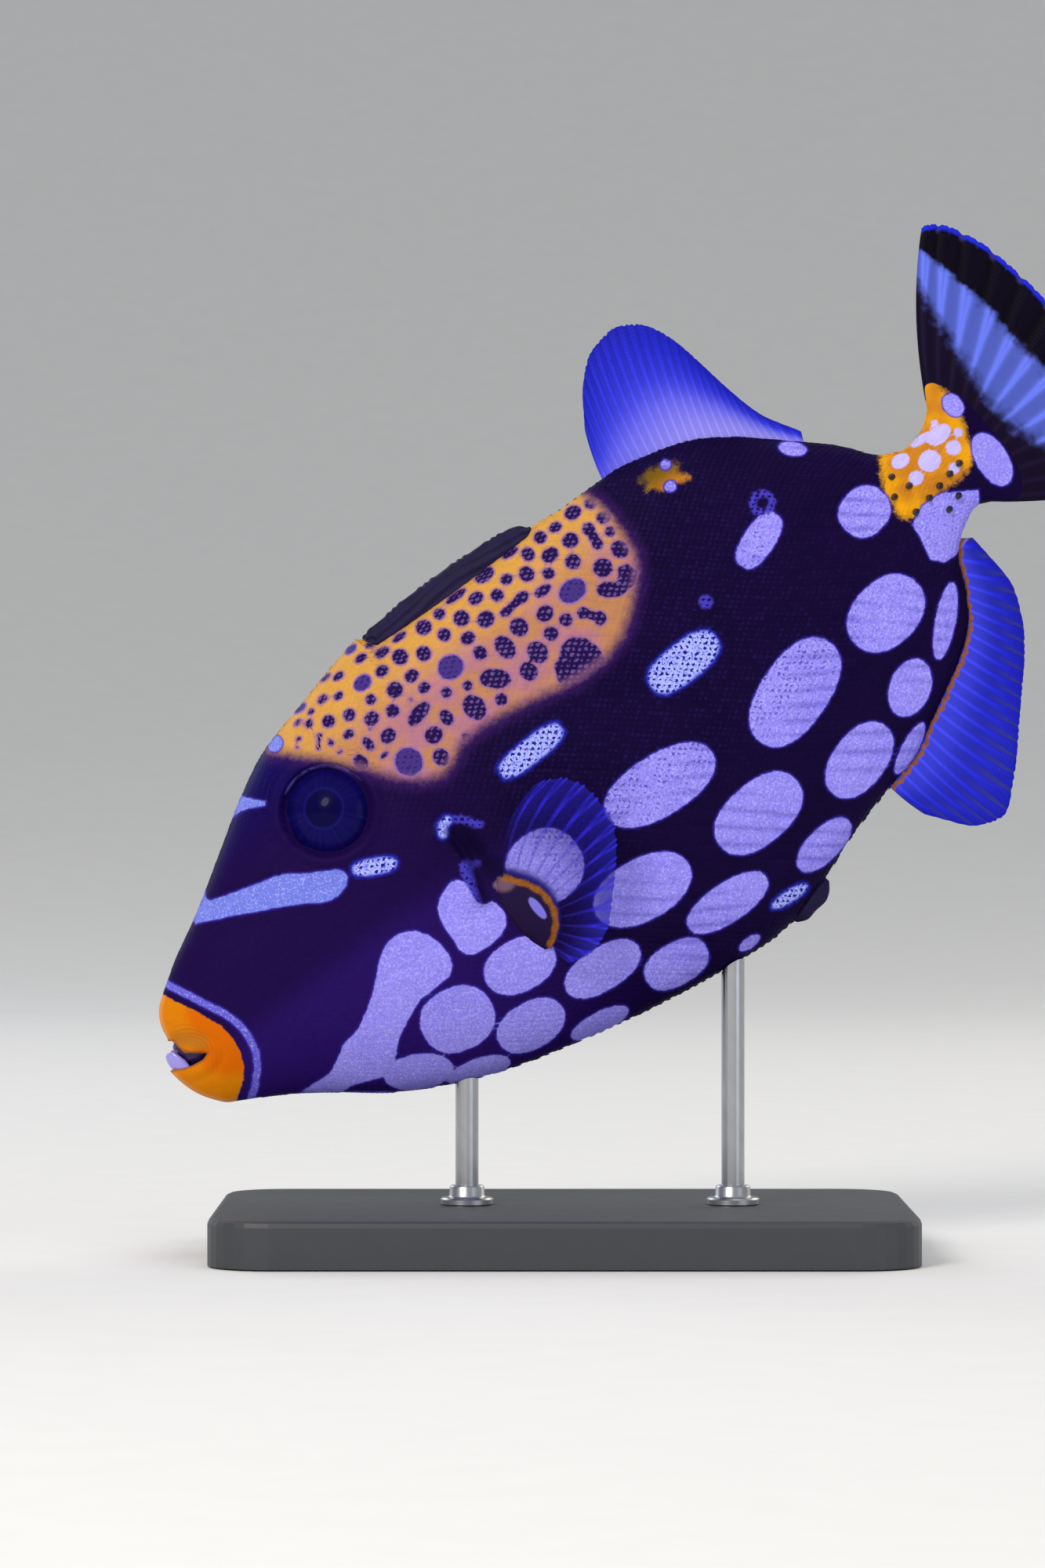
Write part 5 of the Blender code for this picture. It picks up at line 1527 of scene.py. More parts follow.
@dataclass
class Scales:
    """The hard plates all over the skin, set in rows that cross on the slant.

    Their rows follow the trunk's ribs. Geometry Nodes set one low, domed plate on every
    place of the lattice.
    """

    finish: Material
    step: float = 1.24
    pitch: float = 1.8
    relief: float = 0.12
    fill: float = 1.0
    flat: float = 0.66
    dome: float = 0.45
    first: float = 12.0
    deepest: float = 115.0
    taper: float = 0.35
    # How many plates at most stand on a rib above the widest line, and how finely a rib is followed.
    most: int = 70
    rib_steps: int = 260
    # How far on the next place is looked for, to find which way the plates run.
    ahead: float = 0.5
    head_end: float = 92.0
    bare_round_eye: float = 14.2
    bare_round_lips: float = 1.2
    bare_round_nostril: float = 1.6
    bare_round_cavity: float = 0.4
    bare_round_slit: float = 1.5
    smallest: float = 0.93
    largest: float = 1.05
    patch_size: float = 0.003

    def pitch_at(self, at: float) -> float:
        """The distance between the plates of one rib: smaller where the body is slimmer."""
        high, low = SHAPE.ends(TRUNK.rib(at))
        return self.pitch * ((high - low) / self.deepest) ** self.taper

    def lattice(self, at: float, counts: Array) -> Array:
        """Places on one rib, by how many plates they are above the widest line.

        Args:
            at: The rib's place.
            counts: How many plates up, or down where negative.

        Returns:
            Their (s, h); those off the skin are not numbers.
        """
        rib = TRUNK.rib(at)
        angles = np.linspace(-math.pi / 2, math.pi / 2, self.rib_steps)
        line = SHAPE.rib_points(rib, angles)
        y = SHAPE.half_width(line[:, 0], line[:, 1])
        y[0] = y[-1] = 0
        run = run_along(np.column_stack([line, y]))
        run -= run[len(run) // 2]
        wanted = counts * self.pitch_at(at)
        found = [np.interp(wanted, run, line[:, k], left=np.nan, right=np.nan) for k in (0, 1)]
        return np.stack(found, axis=-1)

    def bare(self, s: Array, h: Array) -> Array:
        """Where no plate grows: the lips, round the eyes, the nostrils and the gill's slit."""
        bare = far_from(SHAPE.eye, s, h) < self.bare_round_eye
        bare |= inside_polygon(MARKS.mask_edge, s, h) > -self.bare_round_lips
        for nostril in SHAPE.nostrils:
            bare |= far_from(nostril, s, h) < self.bare_round_nostril
        bare |= MARKS.cavity(s, h) > -self.bare_round_cavity
        slit = [(a + 1.5, b) for a, b in SHAPE.gill_edge]
        return bare | (far_from_line(slit, s, h) < self.bare_round_slit)

    def places(self, side: Side) -> dict[str, Array]:
        """The plates of one side: where each is, which way it looks, and its size."""
        columns = []
        at, odd = self.first, 0
        last = TRUNK.places[-1] - 0.4
        counts = np.arange(-self.most, self.most + 1)
        while at < last:
            step = self.step * (0.8 + 0.2 * float(ease(np.array(at), 20, 90)))
            here = counts + 0.5 * odd
            now, after = self.lattice(at, here), self.lattice(at + self.ahead, here)
            keep = np.isfinite(now).all(axis=1) & np.isfinite(after).all(axis=1)
            keep[keep] = ~self.bare(now[keep, 0], now[keep, 1])
            run = (after - now)[keep] / self.ahead
            stretch = np.hypot(*run.T)
            share = (at - self.first) / (last - self.first)
            fill = np.stack([now[keep, 0], now[keep, 1], run[:, 0], run[:, 1], step * stretch,
                             np.full(keep.sum(), self.pitch_at(at) / 2), np.full(keep.sum(), share),
                             0.5 + here[keep] * self.pitch_at(at) / 150], axis=-1)  # fmt: skip
            columns.append(fill)
            at, odd = at + step, 1 - odd
        s, h, run_s, run_h, long, tall, u, v = np.concatenate(columns).T
        points, out = SHAPE.skin_place(s, h, side)
        run = np.stack([run_s, 0 * run_s, run_h], axis=-1)
        run -= out * np.sum(run * out, axis=-1, keepdims=True)
        # Plates differ a little, and lie flatter where the skin turns to the back or the belly.
        draws = np.random.default_rng(SEED + side.value)
        size, shade = draws.uniform(self.smallest, self.largest, (2, len(s)))
        shade = (shade - self.smallest) / (self.largest - self.smallest)
        room = np.minimum(1, 0.35 + 1.6 * np.abs(out[:, 1]))
        # Each side takes half of the map's width, with a margin.
        low, wide = (0.015 if side is Side.LEFT else 0.515), 0.47
        return {
            "at": place(*points.T), "out": turned(out), "run": turned(run), "s": s,
            "long": long * size, "tall": tall * size,
            "deep": self.relief * size * room * (0.4 + 0.6 * ease(s, 55, 115)),
            "root_u": low + wide * u, "root_v": 0.02 + 0.96 * v, "shade": shade,
        }  # fmt: skip

    def tree(self) -> bpy.types.GeometryNodeTree:
        """The nodes that set a plate on every point."""
        tree = bpy.data.node_groups.new("set_scales", "GeometryNodeTree")
        tree.interface.new_socket("Points", in_out="INPUT", socket_type="NodeSocketGeometry")
        for name in ("Fill", "Flat", "Dome"):
            tree.interface.new_socket(name, in_out="INPUT", socket_type="NodeSocketFloat")
        tree.interface.new_socket("Scales", in_out="OUTPUT", socket_type="NodeSocketGeometry")
        given = add_node(tree, "NodeGroupInput").outputs

        def named(name: str, kind: str) -> Socket:
            settings = {"data_type": kind}
            return add_node(tree, "GeometryNodeInputNamedAttribute", settings, Name=name).outputs[0]

        def marked(geometry: Socket, name: str, value: object, kind: str = "FLOAT") -> Socket:
            settings = {"data_type": kind, "domain": "POINT"}
            node = add_node(tree, "GeometryNodeStoreNamedAttribute", settings, Geometry=geometry, Name=name)
            if isinstance(value, Socket):
                tree.links.new(value, node.inputs["Value"])
            else:
                node.inputs["Value"].default_value = value
            return node.outputs[0]

        def made(kind: str, settings: dict | None = None, **inputs: object) -> Socket:
            return add_node(tree, kind, settings, **inputs).outputs[0]

        plate = made("GeometryNodeMeshCone", {"fill_type": "TRIANGLE_FAN"}, Vertices=4, Side_Segments=1,
                     Fill_Segments=1, Radius_Top=given["Flat"], Radius_Bottom=1.0, Depth=1.0)  # fmt: skip
        facing = add_node(tree, "ShaderNodeSeparateXYZ", n0=made("GeometryNodeInputNormal")).outputs[2]
        less = {"data_type": "FLOAT", "operation": "LESS_THAN"}
        under = made("FunctionNodeCompare", less, n0=facing, n1=-0.9)
        plate = made("GeometryNodeDeleteGeometry", {"domain": "FACE"}, Geometry=plate, Selection=under)
        where = made("GeometryNodeInputPosition")
        plate = marked(plate, "local", where, "FLOAT_VECTOR")
        part = add_node(tree, "ShaderNodeSeparateXYZ", n0=where).outputs
        drop = counted(tree, "MULTIPLY", part[2], off_axis(tree, part))
        drop = counted(tree, "MULTIPLY", drop, given["Dome"])
        lower = made("ShaderNodeCombineXYZ", n2=counted(tree, "MULTIPLY", drop, -1.0))
        plate = made("GeometryNodeSetPosition", Geometry=plate, Offset=lower)
        align = "FunctionNodeAlignRotationToVector"
        up = made(align, {"axis": "Z"}, Vector=named("out", "FLOAT_VECTOR"))
        pivot = {"axis": "X", "pivot_axis": "Z"}
        way = made(align, pivot, Rotation=up, Vector=named("run", "FLOAT_VECTOR"))
        long, tall = (
            counted(tree, "MULTIPLY", named(name, "FLOAT"), given["Fill"]) for name in ("long", "tall")
        )
        size = made("ShaderNodeCombineXYZ", n0=long, n1=tall, n2=named("deep", "FLOAT"))
        coat = made("GeometryNodeInstanceOnPoints", Points=given["Points"], Instance=plate, Rotation=way,
                    Scale=size)  # fmt: skip
        coat = made("GeometryNodeRealizeInstances", Geometry=coat)
        coat = made("GeometryNodeSetShadeSmooth", Geometry=coat, Shade_Smooth=True)
        coat = made("GeometryNodeSetMaterial", Geometry=coat, Material=self.finish)
        out = tree.nodes.new("NodeGroupOutput")
        tree.links.new(coat, out.inputs[0])
        return tree

    def piece(self, name: str, plates: dict[str, Array]) -> Object:
        """One coat piece, from the places of its plates."""
        seeds = bpy.data.meshes.new(f"{name}_places")
        seeds.from_pydata(plates["at"].tolist(), [], [])
        for mark in ("out", "run"):
            write_value(seeds, mark, plates[mark], "FLOAT_VECTOR")
        for mark in ("long", "tall", "deep"):
            write_value(seeds, mark, plates[mark] * MM)
        for mark in ("root_u", "root_v", "shade"):
            write_value(seeds, mark, plates[mark])
        carrier = linked(f"{name}_places", seeds)
        setter = carrier.modifiers.new("set_scales", "NODES")
        setter.node_group = self.group
        sizes = {"Fill": self.fill, "Flat": self.flat, "Dome": self.dome}
        for socket in self.group.interface.items_tree:
            if socket.name in sizes:
                setter[socket.identifier] = sizes[socket.name]
        coat = carrier.evaluated_get(bpy.context.evaluated_depsgraph_get())
        mesh = bpy.data.meshes.new_from_object(coat)
        bpy.data.objects.remove(carrier)
        mesh.name = name
        piece = linked(name, mesh)
        self.write_patches(mesh)
        write_marks(mesh)
        return piece

    def write_patches(self, mesh: Mesh) -> None:
        """Gives each plate a small patch, at its root's place on the unwrapped skin."""
        count = len(mesh.vertices)
        local, root = np.empty(count * 3), np.empty((2, count))
        mesh.attributes["local"].data.foreach_get("vector", local)
        for k, mark in enumerate(("root_u", "root_v")):
            mesh.attributes[mark].data.foreach_get("value", root[k])
        local = local.reshape(-1, 3)
        spot = root.T + local[:, :2] * (1 - 0.1 * local[:, 2:]) * self.patch_size / 2
        corners = np.empty(len(mesh.loops), np.int32)
        mesh.loops.foreach_get("vertex_index", corners)
        layer = mesh.uv_layers.new(name="OFBake")
        layer.data.foreach_set("uv", spot[corners].ravel().astype(np.float32))
        # The finish reads how far each point is from its plate's middle; bare skin has no such value.
        local[:, 2] = 1
        write_value(mesh, "local", local, "FLOAT_VECTOR")
        for mark in ("root_u", "root_v", "out", "run", "long", "tall", "deep"):
            if mark in mesh.attributes:
                mesh.attributes.remove(mesh.attributes[mark])

    def build(self, build: Build) -> None:
        """Makes the coat: the head's plates, and those of the trunk by side."""
        self.group = self.tree()
        sides = {side: self.places(side) for side in Side}
        for name, wanted in (("head", list(Side)), ("left", [Side.LEFT]), ("right", [Side.RIGHT])):
            chosen = []
            for side in wanted:
                plates = sides[side]
                front = plates["s"] < self.head_end
                keep = front if name == "head" else ~front
                chosen.append({mark: value[keep] for mark, value in plates.items()})
            plates = {mark: np.concatenate([part[mark] for part in chosen]) for mark in chosen[0]}
            LOG.info("scales_%s: %d plates", name, len(plates["s"]))
            build.add(self.piece(f"scales_{name}", plates), "dark_skin")


def ray_strength(
    across: Array, share: Array, splits: tuple[tuple[float, float], ...], wide: float = 0.13
) -> Array:
    """How much of a ray, from 0 to 1, is at each place of a fin.

    Args:
        across: Where the columns are, counted in rays, with a ray at each half.
        share: Where the rows are, from root to edge.
        splits: Where the rays branch, as a share, and how far apart the branches end.
        wide: How wide a ray is, as a share of the room between two.

    Returns:
        An array of rows by columns.
    """
    off = off_lines(across, 1.0)[None, :] + 0 * share[:, None]
    for start, apart in splits:
        spread = apart * ease(share, start, 1.15)[:, None]
        off = np.abs(off - spread)
    return np.exp(-((off / wide) ** 2))


def web_half(share: Array, thick: tuple[float, float]) -> Points:
    """Half a web's thickness down a fin, from its thickness at the root to that at the edge."""
    first, last = thick
    return (first + (last - first) * share**0.5)[:, None] / 2


def pleats(across: Array, weight: Array) -> Points:
    """Waves between a fin's rays, with the weight that each row gives them."""
    return np.cos(across * 2 * math.pi)[None, :] * weight[:, None]


def closed(half: Points, share: Array, steep: float) -> Points:
    """A half thickness that narrows in a round at the outer edge: steep says how late."""
    return half * np.minimum(1, steep * (1 - share) + EDGE_LEFT)[:, None]


@dataclass
class Fin:
    """A fin on the middle plane: a thin web over branching rays, waved sideways."""

    name: str
    node: str
    slot: str
    finish: Material
    base: tuple[float, float]
    edge: tuple
    upper: bool
    rays: int
    sway: tuple[float, float, float]
    bulge: float
    sunk: float = 1.6
    columns: int = 9
    rows: int = 44
    thick: tuple[float, float] = (1.7, 0.36)
    ridge: float = 0.2
    splits: tuple = ((0.3, 0.24), (0.65, 0.1))
    steep: float = 14.0
    fade: float = 0.6
    pleat: float = 0.1
    scallop: float = 0.01

    def build(self, build: Build) -> None:
        """Makes the fin."""
        parts = np.linspace(0, 1, self.rays * self.columns + 1)
        share = np.linspace(0, 1, self.rows)
        curve = SHAPE.back_of if self.upper else SHAPE.belly_of
        roots = edge_line(curve, *self.base, parts, -self.sunk if self.upper else self.sunk)
        tips = curve_through(self.edge)(parts)
        across = parts * self.rays
        ray = ray_strength(across, share, self.splits, 0.1)
        scallop = self.scallop * (1 - ray[-1]) * (1 + 0.6 * np.sin(across * 2.1))
        tips = tips - (tips - roots) * scallop[:, None]
        grid = rays_between(roots, tips, share, self.bulge * (1 - parts))
        height, turns, start = self.sway
        middle = height * np.sin(2 * math.pi * (parts * turns + start))[None, :] * share[:, None] ** 1.6
        middle = middle + self.pleat * pleats(across, share**2)
        half = web_half(share, self.thick) + self.ridge * ray * (1 - self.fade * share[:, None])
        half = closed(half, share, self.steep)
        reach = np.linalg.norm(grid - roots, axis=-1)
        marks = {
            "share": share[:, None] + 0 * ray, "ray": ray, "band": self.band(parts, share), "reach": reach,
            "opaque": 1 - ease(reach, 2.0, 5.0),
        }  # fmt: skip
        if not self.upper:
            serrated = (0.3 * np.cos(across * 2 * math.pi) + 0.2 * np.sin(across * 1.7))[None, :]
            marks["tan"] = 0.7 - np.abs(reach - self.sunk - 0.7 - serrated)
        build.add(slab(self.name, grid, middle, half, marks, self.finish), self.slot, self.node)

    def band(self, parts: Array, share: Array) -> Array:
        """Where each place is among the fin's tints: further on towards the edge and the front."""
        lead = 0.5 * (1 - parts[None, :]) ** 1.5 if self.upper else 0.12 * (1 - parts[None, :])
        return share[:, None] * (1 - lead) + lead


@dataclass
class TailFin:
    """The fan of the tail fin, in bands from its dark root to its clear edge."""

    finish: Material
    rays: int = 12
    columns: int = 14
    rows: int = 60
    band_from: tuple[float, float] = (0.3, 0.44)
    band_to: tuple[float, float] = (0.68, 0.2)
    margin: float = 0.93
    thick: tuple[float, float] = (1.9, 0.4)
    ridge: float = 0.25
    splits: tuple = ((0.25, 0.22), (0.6, 0.1))
    steep: float = 16.0
    fade: float = 0.75
    pleat: float = 0.25
    scallop: float = 0.016

    def build(self, build: Build) -> None:
        """Makes the fan."""
        across = np.linspace(1, -1, self.rays * self.columns + 1)
        share = np.linspace(0.05, 1, self.rows)
        place_ = (1 - across) / 2 * self.rays
        ray = ray_strength(place_, share, self.splits)
        flat = TRUNK.tail_rays(across, share)
        notch = (1 - self.scallop * (1 - ray[-1])[None, :] * share[:, None] ** 4)[..., None]
        grid = flat[:1] + (flat - flat[:1]) * notch
        middle = TRUNK.tail_middle(across, share)
        middle = middle + self.pleat * pleats(place_, share**2)
        ridges = self.ridge * ray * (1 - self.fade * share[:, None]) * ease(share, 0.14, 0.3)[:, None]
        half = closed(web_half(share, self.thick) + ridges, share, self.steep)
        low = self.band_from[0] + self.band_from[1] * np.abs(across) ** 2.6
        high = self.band_to[0] + self.band_to[1] * np.abs(across) ** 2.6
        band = np.empty(ray.shape)
        for k in range(len(across)):
            band[:, k] = np.interp(share, [0, low[k], high[k], self.margin + 0.02, 1], [0, 1, 2, 3, 4])
        reach = np.linalg.norm(grid - grid[:1], axis=-1)
        marks = {
            "share": share[:, None] + 0 * ray, "ray": ray, "band": band, "reach": reach,
            "opaque": 1 - 0.45 * ease(band, 2.9, 3.6),
        }  # fmt: skip
        build.add(slab("tail_fan", grid, middle, half, marks, self.finish), "dark_fin", "caudal_fin")


@dataclass
class Pectoral:
    """A side fin: a clear fan on a fleshy lobe that lies against the flank."""

    side: Side
    finish: Material
    spread: float
    rays: int = 14
    columns: int = 9
    lobe_rows: int = 14
    fan_rows: int = 40
    thick: tuple[float, float] = (1.2, 0.3)
    ridge: float = 0.2
    splits: tuple = ((0.5, 0.2),)
    steep: float = 12.0
    fade: float = 0.6
    pleat: float = 0.16
    fold: float = 0.8
    scallop: float = 0.02
    # The fleshy lobe: how far it stands out of the skin at its edge and further at its middle.
    lobe_rise: tuple[float, float] = (0.3, 1.7)
    lobe_sunk: float = 0.8
    lobe: tuple = ((94, -17), (92.4, -20), (91.2, -25), (91.2, -30), (92.2, -35), (93.6, -38.6))
    root: tuple = (
        (96.2, -17.2), (98.8, -20.6), (101, -24), (102, -27.5), (101.8, -31), (100.2, -34.4), (97.8, -36.9),
        (94.8, -38.8),
    )  # fmt: skip
    edge: tuple = (
        (118, -2.7), (124, -6), (127.3, -12.5), (127.8, -20), (125.5, -26), (121, -32),
        (115, -38.5), (109, -44.2), (102.5, -46.2), (96.6, -45.2),
    )  # fmt: skip

    def build(self, build: Build) -> None:
        """Makes the lobe and the fan as one closed piece."""
        parts = np.linspace(0, 1, self.rays * self.columns + 1)
        front, root, tips = (curve_through(line)(parts) for line in (self.lobe, self.root, self.edge))
        across = parts * self.rays
        lobe_share = np.linspace(0, 1, self.lobe_rows)
        share = np.linspace(0, 1, self.fan_rows)
        ray = ray_strength(across, share, self.splits, 0.065)
        tips = tips - (tips - root) * (self.scallop * (1 - ray[-1]))[:, None]
        lobe = front + (root - front) * lobe_share[:, None, None]
        fan = rays_between(root, tips, share, 0.13 * (1 - parts) ** 3 - 0.03 * parts)
        grid = np.concatenate([lobe, fan[1:]])
        skin = SHAPE.half_width(grid[..., 0], grid[..., 1])
        bulge = np.sin(math.pi * (0.04 + 0.92 * parts)) ** 0.7
        low, more = self.lobe_rise
        rise = low + more * np.sin(math.pi * 0.62 * lobe_share)[:, None] * bulge[None, :]
        inner, outer = skin - self.lobe_sunk, skin.copy()
        rise = rise * np.minimum(1, 6 * lobe_share + 0.15)[:, None]
        outer[: self.lobe_rows] = skin[: self.lobe_rows] + rise
        joint = self.lobe_rows - 1
        inner[joint] = skin[joint] + 0.1
        start = (inner[joint] + outer[joint]) / 2
        reach = np.linalg.norm(fan - root, axis=-1)
        fold = self.fold * share[:, None] * np.sin(parts * math.pi * 5)[None, :] * parts[None, :]
        middle = start + reach * self.spread + fold + self.pleat * pleats(across, ease(share, 0, 0.5))
        root_half = (outer[joint] - inner[joint]) / 2
        web = web_half(share, self.thick) + self.ridge * ray * (1 - self.fade * share[:, None])
        near = ease(share, 0.0, 0.16)[:, None]
        half = root_half * (1 - near) + web * near
        half = closed(half, share, self.steep)
        inner[joint:], outer[joint:] = (middle - half), (middle + half)
        both = np.concatenate([0 * lobe_share - 1, share[1:]])[:, None] + 0 * inner
        smooth_root = curve_through(self.root)(np.linspace(0, 0.97, 60)).tolist()
        marks = {
            "share": np.maximum(both, 0), "band": both + 0.25 * parts[None, :] * (both > 0),
            "ray": np.concatenate([np.zeros((self.lobe_rows, len(parts))), ray[1:] * near[1:]]),
            "reach": np.concatenate([0 * lobe[..., 0], reach[1:]]),
            "opaque": 1 - ease(both, 0.0, 0.13),
            "pale": Oval(98.4, -28.8, 2.4, 7.0, 2).depth(grid[..., 0], grid[..., 1]),
            "tan": 0.9 + 0.1 * np.cos(across * 4 * math.pi)[None, :] + 0.15 * np.sin(across * 3.1)[None, :]
            - far_from_line(smooth_root, grid[..., 0] + 0.2, grid[..., 1]),
        }  # fmt: skip
        sign = self.side.value
        name = f"side_fin_{self.side.name.lower()}"
        piece = slab(name, grid, sign * (inner + outer) / 2, (outer - inner) / 2, marks, self.finish)
        build.add(piece, "dark_fin", f"pectoral_fin_{self.side.name.lower()}")


def rough_cone(
    start: Points, end: Points, radii: tuple[float, float], lift: Points, sides: int, rings: int,
    rough: float,
) -> tuple[Points, list]:  # fmt: skip
    """A tapered, slightly bent spine with a rough surface and a closed tip.

    Args:
        start: Where it starts, (s, y, h).
        end: Where its tip is.
        radii: Its radius at the start and at the tip.
        lift: How far its middle is moved off the straight line.
        sides: Points round it.
        rings: Rings along it.
        rough: The height of its knobs.

    Returns:
        Its points in the fish's own frame, and its faces.
    """
    start, end, lift = (np.array(p, float) for p in (start, end, lift))
    part = np.linspace(0, 1, rings)
    axis = start + (end - start) * part[:, None] + lift * (4 * part * (1 - part))[:, None]
    way = (end - start) / np.linalg.norm(end - start)
    first = np.cross(way, (0, 1, 0) if abs(way[1]) < 0.8 else (1, 0, 0))
    first /= np.linalg.norm(first)
    second = np.cross(way, first)
    turn = full_turn(sides)
    draws = np.random.default_rng(SEED + rings).uniform(-1, 1, (rings, sides))
    radius = (radii[0] + (radii[1] - radii[0]) * part**0.9)[:, None]
    radius = radius + rough * draws * (1 - 0.6 * part[:, None])
    radius[-1] = 0.02
    round_ = np.cos(turn)[None, :, None] * first + np.sin(turn)[None, :, None] * second
    points = axis[:, None, :] + radius[..., None] * round_
    faces = grid_faces(rings, sides, wrap=True) + [tuple(range(sides))[::-1]]
    return points.reshape(-1, 3), faces


@dataclass
class Spines:
    """The folded first dorsal spines, the rough pelvic knob and the hooks before the tail fin."""

    finish: Material
    hook_finish: Material
    folded: tuple = (
        ((105.6, 0.2, 51.9), (151.5, 0.0, 53.9), 2.5), ((114.5, 0.0, 51.3), (153.2, 0.2, 52.3), 2.2),
        ((125.0, -0.2, 50.6), (154.0, 0.4, 51.2), 1.9),
    )  # fmt: skip
    folded_top: tuple = (
        (103.4, 54.3), (106, 54.9), (110, 55.2), (120, 55.9), (130, 55.9), (140, 55.4), (148, 54.8),
        (152.5, 53.6), (155.4, 51.4),
    )  # fmt: skip
    web_base: tuple[float, float] = (103.6, 155.0)
    web_sunk: float = 1.8
    web_half_thickness: float = 2.9
    spine_tip: float = 0.35
    spine_knobs: float = 0.09
    pelvic_base: tuple[float, float] = (149.0, 163.0)
    pelvic_edge: tuple = (
        (150.2, -72.3), (153, -73.3), (156, -72.7), (159, -72.4), (161.5, -70.9), (163.2, -68.6),
    )  # fmt: skip
    hook_reach: float = 1.9
    hook_lean: float = -1.5
    hook_radii: tuple[float, float] = (1.25, 0.2)
    hooks: tuple = (
        (238, -5.0), (243, -4.2), (247, -3.2), (251, -2.3), (254.6, -1.6), (235.8, 1.4), (240.6, 1.5),
        (238.4, 6.0), (245.5, -9.6), (249.5, -8.2),
    )  # fmt: skip

    def joined(self, name: str, parts: list, finish: Material) -> Object:
        """One piece from several spines."""
        points, faces, count = [], [], 0
        for some, ring in parts:
            faces += [tuple(k + count for k in f) for f in ring]
            points.append(some)
            count += len(some)
        piece = mesh_object(name, place(*np.concatenate(points).T), faces, finish)
        return welded(piece, 0.001)

    def folded_fin(self) -> Object:
        """Three spines laid back over each other."""
        parts = [
            rough_cone(start, end, (radius, self.spine_tip), (0, 0, 0.5), 20, 60, self.spine_knobs)
            for start, end, radius in self.folded
        ]
        return self.joined("folded_spines", parts, self.finish)

    def folded_web(self) -> Object:
        """The crumpled web between the folded spines, down in the groove."""
        parts = np.linspace(0, 1, 161)
        roots = edge_line(SHAPE.back_of, *self.web_base, parts, -self.web_sunk)
        tips = curve_through(self.folded_top, even=False)(parts)
        tips = tips + np.stack([0 * parts, 0.16 * np.sin(parts * 97 + 3 * np.sin(parts * 31))], axis=-1)
        share = np.linspace(0, 1, 17) ** 0.8
        grid = rays_between(roots, tips, share, 0 * parts)
        along = 0.4 + 0.6 * np.sin(math.pi * np.clip(parts, 0.001, 0.999)) ** 0.4
        half = (self.web_half_thickness * np.sqrt(1 - share**3) + 0.12)[:, None] * along[None, :]
        ridges = np.sin(share[:, None] * 19 + 2 * np.sin(parts * 9)[None, :])
        half = half + 0.16 * ridges * np.minimum(half, 1)
        crumple = 0.18 * np.sin(parts * 46 + 2 * np.sin(parts * 13))[None, :] * share[:, None]
        return slab("folded_web", grid, crumple, half, {}, self.finish)

    def pelvic(self) -> Object:
        """The rough knob at the end of the pelvis."""
        parts = np.linspace(0, 1, 57)
        share = np.linspace(0, 1, 15)
        roots = edge_line(SHAPE.belly_of, *self.pelvic_base, parts, 1.2)
        grid = rays_between(roots, curve_through(self.pelvic_edge)(parts), share, 0 * parts)
        half = np.interp(share, [0, 0.33, 0.66, 0.9, 1], [1.6, 1.95, 1.6, 0.9, 0.1])[:, None]
        half = half * np.sin(math.pi * (0.06 + 0.88 * parts))[None, :] ** 0.8
        knobs = 0.16 * np.cos(parts * 62)[None, :] * np.cos(share * 20)[:, None] * (half > 0.6)
        return slab("pelvic_knob", grid, 0 * half, np.maximum(half + knobs, 0.05), {}, self.finish)

    def hook_rows(self) -> Object:
        """The rows of small hooks on both sides of the stalk."""
        parts = []
        for side in Side:
            spots, out = SHAPE.skin_place(*np.array(self.hooks).T, side)
            for spot, way in zip(spots, out):
                tip = spot + way * self.hook_reach + np.array([self.hook_lean, 0, 0])
                root = spot - way * 0.9
                parts.append(rough_cone(root, tip, self.hook_radii, way * 0.25, 12, 9, 0.03))
        return self.joined("tail_hooks", parts, self.hook_finish)

    def build(self, build: Build) -> None:
        """Makes the spines."""
        build.add(self.folded_fin(), "dark_spine", "dorsal_spine_fin")
        build.add(self.folded_web(), "dark_spine")
        build.add(self.pelvic(), "dark_spine", "pelvic_spine")
        build.add(self.hook_rows(), "dark_spine")


@dataclass
class Stand:
    """The plain display stand: its solids in better finishes, with ferrules at the rods' feet."""

    paint: Material
    steel: Material
    base_top: float = 12.0
    rods: tuple[float, float] = (-25.0, 44.0)
    # The collar's turned profile: radius and height.
    collar: tuple = (
        (2.9, 0.0), (6.6, 0.0), (6.9, 0.3), (6.9, 1.5), (6.5, 1.9), (4.9, 2.1), (4.6, 2.5), (4.5, 4.6),
        (4.2, 5.0), (3.4, 5.1), (2.9, 5.0),
    )  # fmt: skip

    def ferrule(self, name: str, x: float) -> Object:
        """A turned collar round a rod's foot."""
        turn = full_turn(96)
        radius, up = (np.array(v)[:, None] for v in zip(*self.collar))
        x_, y_ = x + radius * np.cos(turn), radius * np.sin(turn)
        points = np.stack([x_, y_, self.base_top + up + 0 * x_], axis=-1) * MM
        piece = welded(mesh_object(name, points, grid_faces(*x_.shape, wrap=True), self.steel))
        piece.data.set_sharp_from_angle(angle=math.radians(35))
        return piece

    def build(self, build: Build, nodes: dict[str, Object]) -> None:
        """Dresses the solids and adds the ferrules."""
        finishes = {"stand_base": self.paint, "stand_rod_front": self.steel, "stand_rod_rear": self.steel}
        for node, finish in finishes.items():
            mesh = nodes[node].data
            mesh.materials.clear()
            mesh.materials.append(finish)
        for name, x in zip(("front", "rear"), self.rods):
            build.add(self.ferrule(f"stand_ferrule_{name}", x), "stand_steel")


